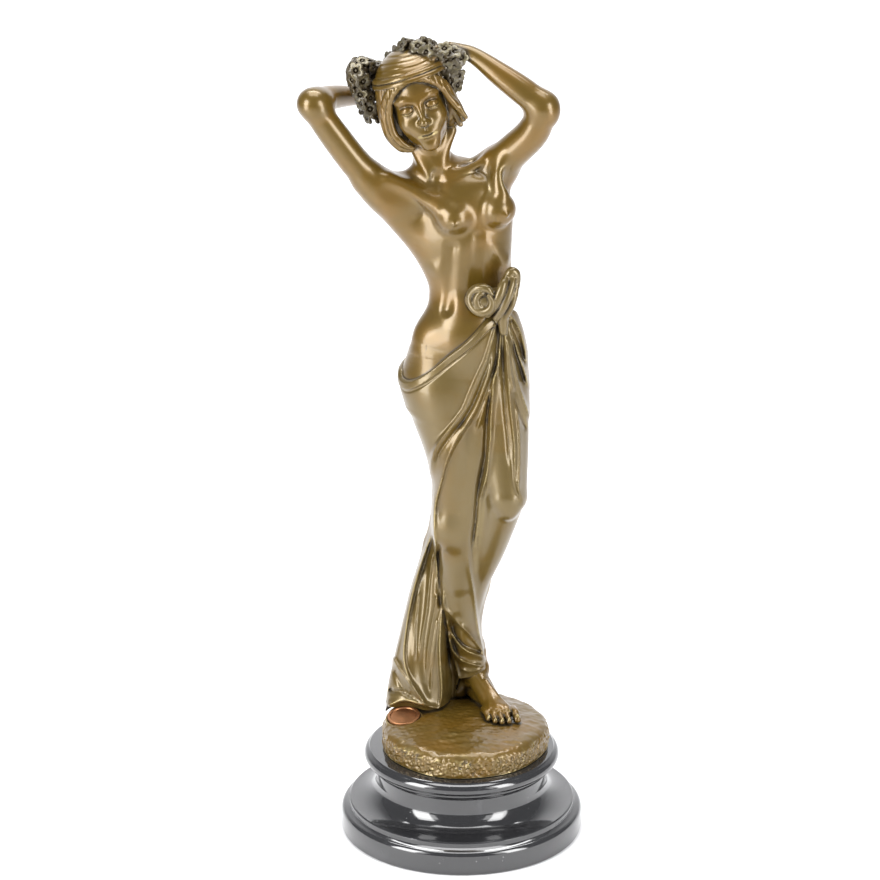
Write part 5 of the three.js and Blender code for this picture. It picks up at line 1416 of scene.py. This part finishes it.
class GARLAND_OT_garland(bpy.types.Operator):
    """Adds the garland of five-petalled flowers"""

    bl_idname = "garland.garland"
    bl_label = "Garland"

    def execute(self, context):
        c = colours()
        garland = cast("garland", GARLAND, sizes().garland_cell / MM)
        patina = bronze("flower bronze", c.flower_bronze, c.dark_bronze, c.worn_flower, None, 0.05, 0.08)
        dress(garland, patina, "bronze_figure")
        return {"FINISHED"}


class GARLAND_OT_ground(bpy.types.Operator):
    """Adds the rock that she stands on"""

    bl_idname = "garland.ground"
    bl_label = "Ground"

    def execute(self, context):
        ground = cast("ground", GROUND, sizes().ground_cell / MM, floor=CASTING_FLOOR)
        dress(ground, skin_bronze("ground bronze", 0.05, 0.06), "bronze_figure")
        return {"FINISHED"}


MARBLE_SIDES = 160
MARBLE_SHARP = 32
DISC_SIDES = 96
DISC_SHARP = 40


def lathe(name, profile, sides):
    """A turned mesh from a profile of radius and height in millimetres."""
    angles = np.arange(sides) * math.tau / sides
    points = [(r * math.cos(a) * MM, r * math.sin(a) * MM, h * MM) for r, h in profile for a in angles]
    faces = []
    for i in range(len(profile) - 1):
        for j in range(sides):
            k = (j + 1) % sides
            faces.append((i * sides + j, i * sides + k, (i + 1) * sides + k, (i + 1) * sides + j))
    faces.append(tuple(range(sides))[::-1])
    top = (len(profile) - 1) * sides
    faces.append(tuple(range(top, top + sides)))
    mesh = bpy.data.meshes.new(name)
    mesh.from_pydata(points, [], faces)
    mesh.update()
    return shown(name, mesh)


def soften(piece, angle):
    """Smooth shading that keeps the edges sharper than an angle."""
    for polygon in piece.data.polygons:
        polygon.use_smooth = True
    piece.data.set_sharp_from_angle(angle=math.radians(angle))


def arc(centre, reach, start, end, steps):
    """Points of a quarter oval in a profile, from one angle to another in degrees."""
    out = []
    for i in range(steps + 1):
        angle = math.radians(start + (end - start) * i / steps)
        out.append((centre[0] + reach[0] * math.cos(angle), centre[1] + reach[1] * math.sin(angle)))
    return out


class GARLAND_OT_base(bpy.types.Operator):
    """Adds the turned marble base"""

    bl_idname = "garland.base"
    bl_label = "Marble base"

    def execute(self, context):
        c = colours()
        profile = [(61.3, 0.0), (61.9, 0.15), (62.35, 0.6), (62.5, 1.2)]
        profile += arc((59.7, 10), (2.8, 2.8), 0, 78, 8)
        profile += [(59.2, 13.3), (58.6, 13.7), (58.5, 14.3)]
        profile += [(58.6, 15.4), (58.4, 16.1), (57.8, 16.6)]
        profile += arc((57.8, 26.5), (-14.3, -9.9), 90, 0, 16)
        profile += [(43.5, 30), (43.5, 33.5)]
        profile += arc((43.5, 37.6), (3.6, -4.1), 90, 0, 6)[1:]
        profile += arc((47.1, 41), (3.4, 3.4), -60, 72, 10)
        profile += [(47.7, 44.9), (47.2, 45.0)]
        base = lathe("marble", profile, MARBLE_SIDES)
        soften(base, MARBLE_SHARP)
        dress(base, polished_marble("polished marble", c.marble, c.vein, c.speck), "marble_base")
        return {"FINISHED"}


class GARLAND_OT_seal(bpy.types.Operator):
    """Adds the bare seal disc on the ground"""

    bl_idname = "garland.seal"
    bl_label = "Seal disc"

    def execute(self, context):
        c = colours()
        profile = [(8.2, 0), (8.5, 0.2), (8.5, 1.45)]
        profile += arc((8.2, 1.45), (0.3, 0.35), 0, 90, 4)
        profile += [(7.4, 1.8)] + arc((7.2, 1.5), (0.2, 0.3), 90, 180, 3)
        profile += [(6.8, 1.3), (4.5, 1.26), (1.5, 1.3), (0.2, 1.3)]
        disc = lathe("seal", profile, DISC_SIDES)
        disc.matrix_world = Matrix.Translation(seal_centre * MM) @ seal_turn.to_4x4()
        bpy.context.view_layer.update()
        disc.data.transform(disc.matrix_world)
        disc.matrix_world = Matrix.Identity(4)
        soften(disc, DISC_SHARP)
        dress(disc, copper("copper", c.copper, c.dark_copper), "seal_disc")
        return {"FINISHED"}


# The studio: camera place and pitch, and soft boxes as name, place, width, height, power and what they aim at
CAMERA_PLACE = (-0.0112, -1.8, 0.878)
CAMERA_PITCH = 20.27
CAMERA_LENS = 155.66
SENSOR_WIDTH = 36
FAR_CLIP = 20
SWEEP_START = 1.4
SWEEP_RISE = 0.6
SWEEP_STEPS = 14
WALL_TOP = 3.0
PALE_PAPER = (0.86, 0.86, 0.87, 1)
WHITE_PAPER = (0.88, 0.88, 0.885, 1)
SKY = (0.93, 0.95, 1.0, 1)
SKY_STRENGTH = 0.3
SOFT_BOXES = [
    ("left strip", (-0.62, -0.46, 0.42), 0.34, 0.8, 7.0, (0.0, 0.0, 0.3)),
    ("right strip", (0.6, -0.5, 0.42), 0.28, 0.8, 5.2, (0.0, 0.0, 0.3)),
    ("left box", (-1.5, -1.3, 0.95), 1.1, 1.1, 12.0, (0.0, 0.0, 0.25)),
    ("right box", (1.35, -1.4, 0.95), 0.9, 1.1, 8.0, (0.0, 0.0, 0.25)),
    ("top box", (0.0, 0.1, 1.7), 1.2, 1.0, 20.0, (0.0, 0.0, 0.0)),
    ("backdrop box", (0.0, 0.8, 2.2), 2.4, 0.5, 40.0, (0.0, 1.9, 0.6)),
]


class GARLAND_OT_stage(bpy.types.Operator):
    """Adds the floor, the lights and the camera"""

    bl_idname = "garland.stage"
    bl_label = "Studio"

    def execute(self, context):
        scene = context.scene
        reach = sizes().floor_reach
        mesh = bpy.data.meshes.new("floor")
        turns = [math.pi / 2 * (i + 1) / SWEEP_STEPS for i in range(SWEEP_STEPS)]
        profile = [(-reach, 0.0), (SWEEP_START, 0.0)]
        profile += [(SWEEP_START + SWEEP_RISE * math.sin(t), SWEEP_RISE * (1 - math.cos(t))) for t in turns]
        profile += [(SWEEP_START + SWEEP_RISE, WALL_TOP)]
        points = [(x, y, z) for y, z in profile for x in (-reach, reach)]
        faces = [(2 * i, 2 * i + 1, 2 * i + 3, 2 * i + 2) for i in range(len(profile) - 1)]
        mesh.from_pydata(points, [], faces)
        for polygon in mesh.polygons:
            polygon.use_smooth = True
        floor = shown("floor", mesh)
        r = Recipe("white sweep")
        paper = r.noise(r.place(), 3, 2)
        tone = r.mixed(paper, PALE_PAPER, WHITE_PAPER)
        mesh.materials.append(r.finish(Base_Color=tone, Roughness=0.7))
        world = bpy.data.worlds.new("studio")
        world.use_nodes = True
        background = world.node_tree.nodes["Background"]
        background.inputs["Color"].default_value = SKY
        background.inputs["Strength"].default_value = SKY_STRENGTH
        scene.world = world
        for name, place, width, height, power, aim in SOFT_BOXES:
            light = bpy.data.lights.new(name, "AREA")
            light.shape = "RECTANGLE"
            light.size, light.size_y, light.energy = width, height, power
            lamp = shown(name, light)
            lamp.location = place
            lamp.rotation_euler = (Vector(aim) - Vector(place)).to_track_quat("-Z", "Y").to_euler()
        camera = bpy.data.cameras.new("camera")
        camera.lens = CAMERA_LENS
        camera.sensor_width = SENSOR_WIDTH
        camera.clip_end = FAR_CLIP
        eye = shown("camera", camera)
        eye.location = CAMERA_PLACE
        eye.rotation_euler = (math.radians(90 - CAMERA_PITCH), 0, 0)
        scene.camera = eye
        scene.view_settings.view_transform = "Standard"
        return {"FINISHED"}


OPERATORS = (
    GARLAND_OT_stage, GARLAND_OT_base, GARLAND_OT_seal, GARLAND_OT_ground, GARLAND_OT_cloth, GARLAND_OT_skin,
    GARLAND_OT_head, GARLAND_OT_garland,
)


class GARLAND_PT_sidebar(bpy.types.Panel):
    """Lists the pieces of the figure"""

    bl_idname = "GARLAND_PT_sidebar"
    bl_label = "Garland girl"
    bl_space_type = "VIEW_3D"
    bl_region_type = "UI"
    bl_category = "Garland girl"

    def draw(self, context):
        for operator in OPERATORS:
            self.layout.operator(operator.bl_idname)
        for group in (sizes(), colours()):
            for name in group.__annotations__:
                self.layout.prop(group, name)


CLASSES = (GarlandGirlSizes, GarlandGirlColours, *OPERATORS, GARLAND_PT_sidebar)


def register():
    for cls in CLASSES:
        bpy.utils.register_class(cls)
    bpy.types.Scene.garland_girl_sizes = bpy.props.PointerProperty(type=GarlandGirlSizes)
    bpy.types.Scene.garland_girl_colours = bpy.props.PointerProperty(type=GarlandGirlColours)


def unregister():
    del bpy.types.Scene.garland_girl_colours
    del bpy.types.Scene.garland_girl_sizes
    for cls in reversed(CLASSES):
        bpy.utils.unregister_class(cls)


def main():
    register()
    for operator in OPERATORS:
        group, name = operator.bl_idname.split(".")
        getattr(getattr(bpy.ops, group), name)()


if __name__ == "__main__":
    main()
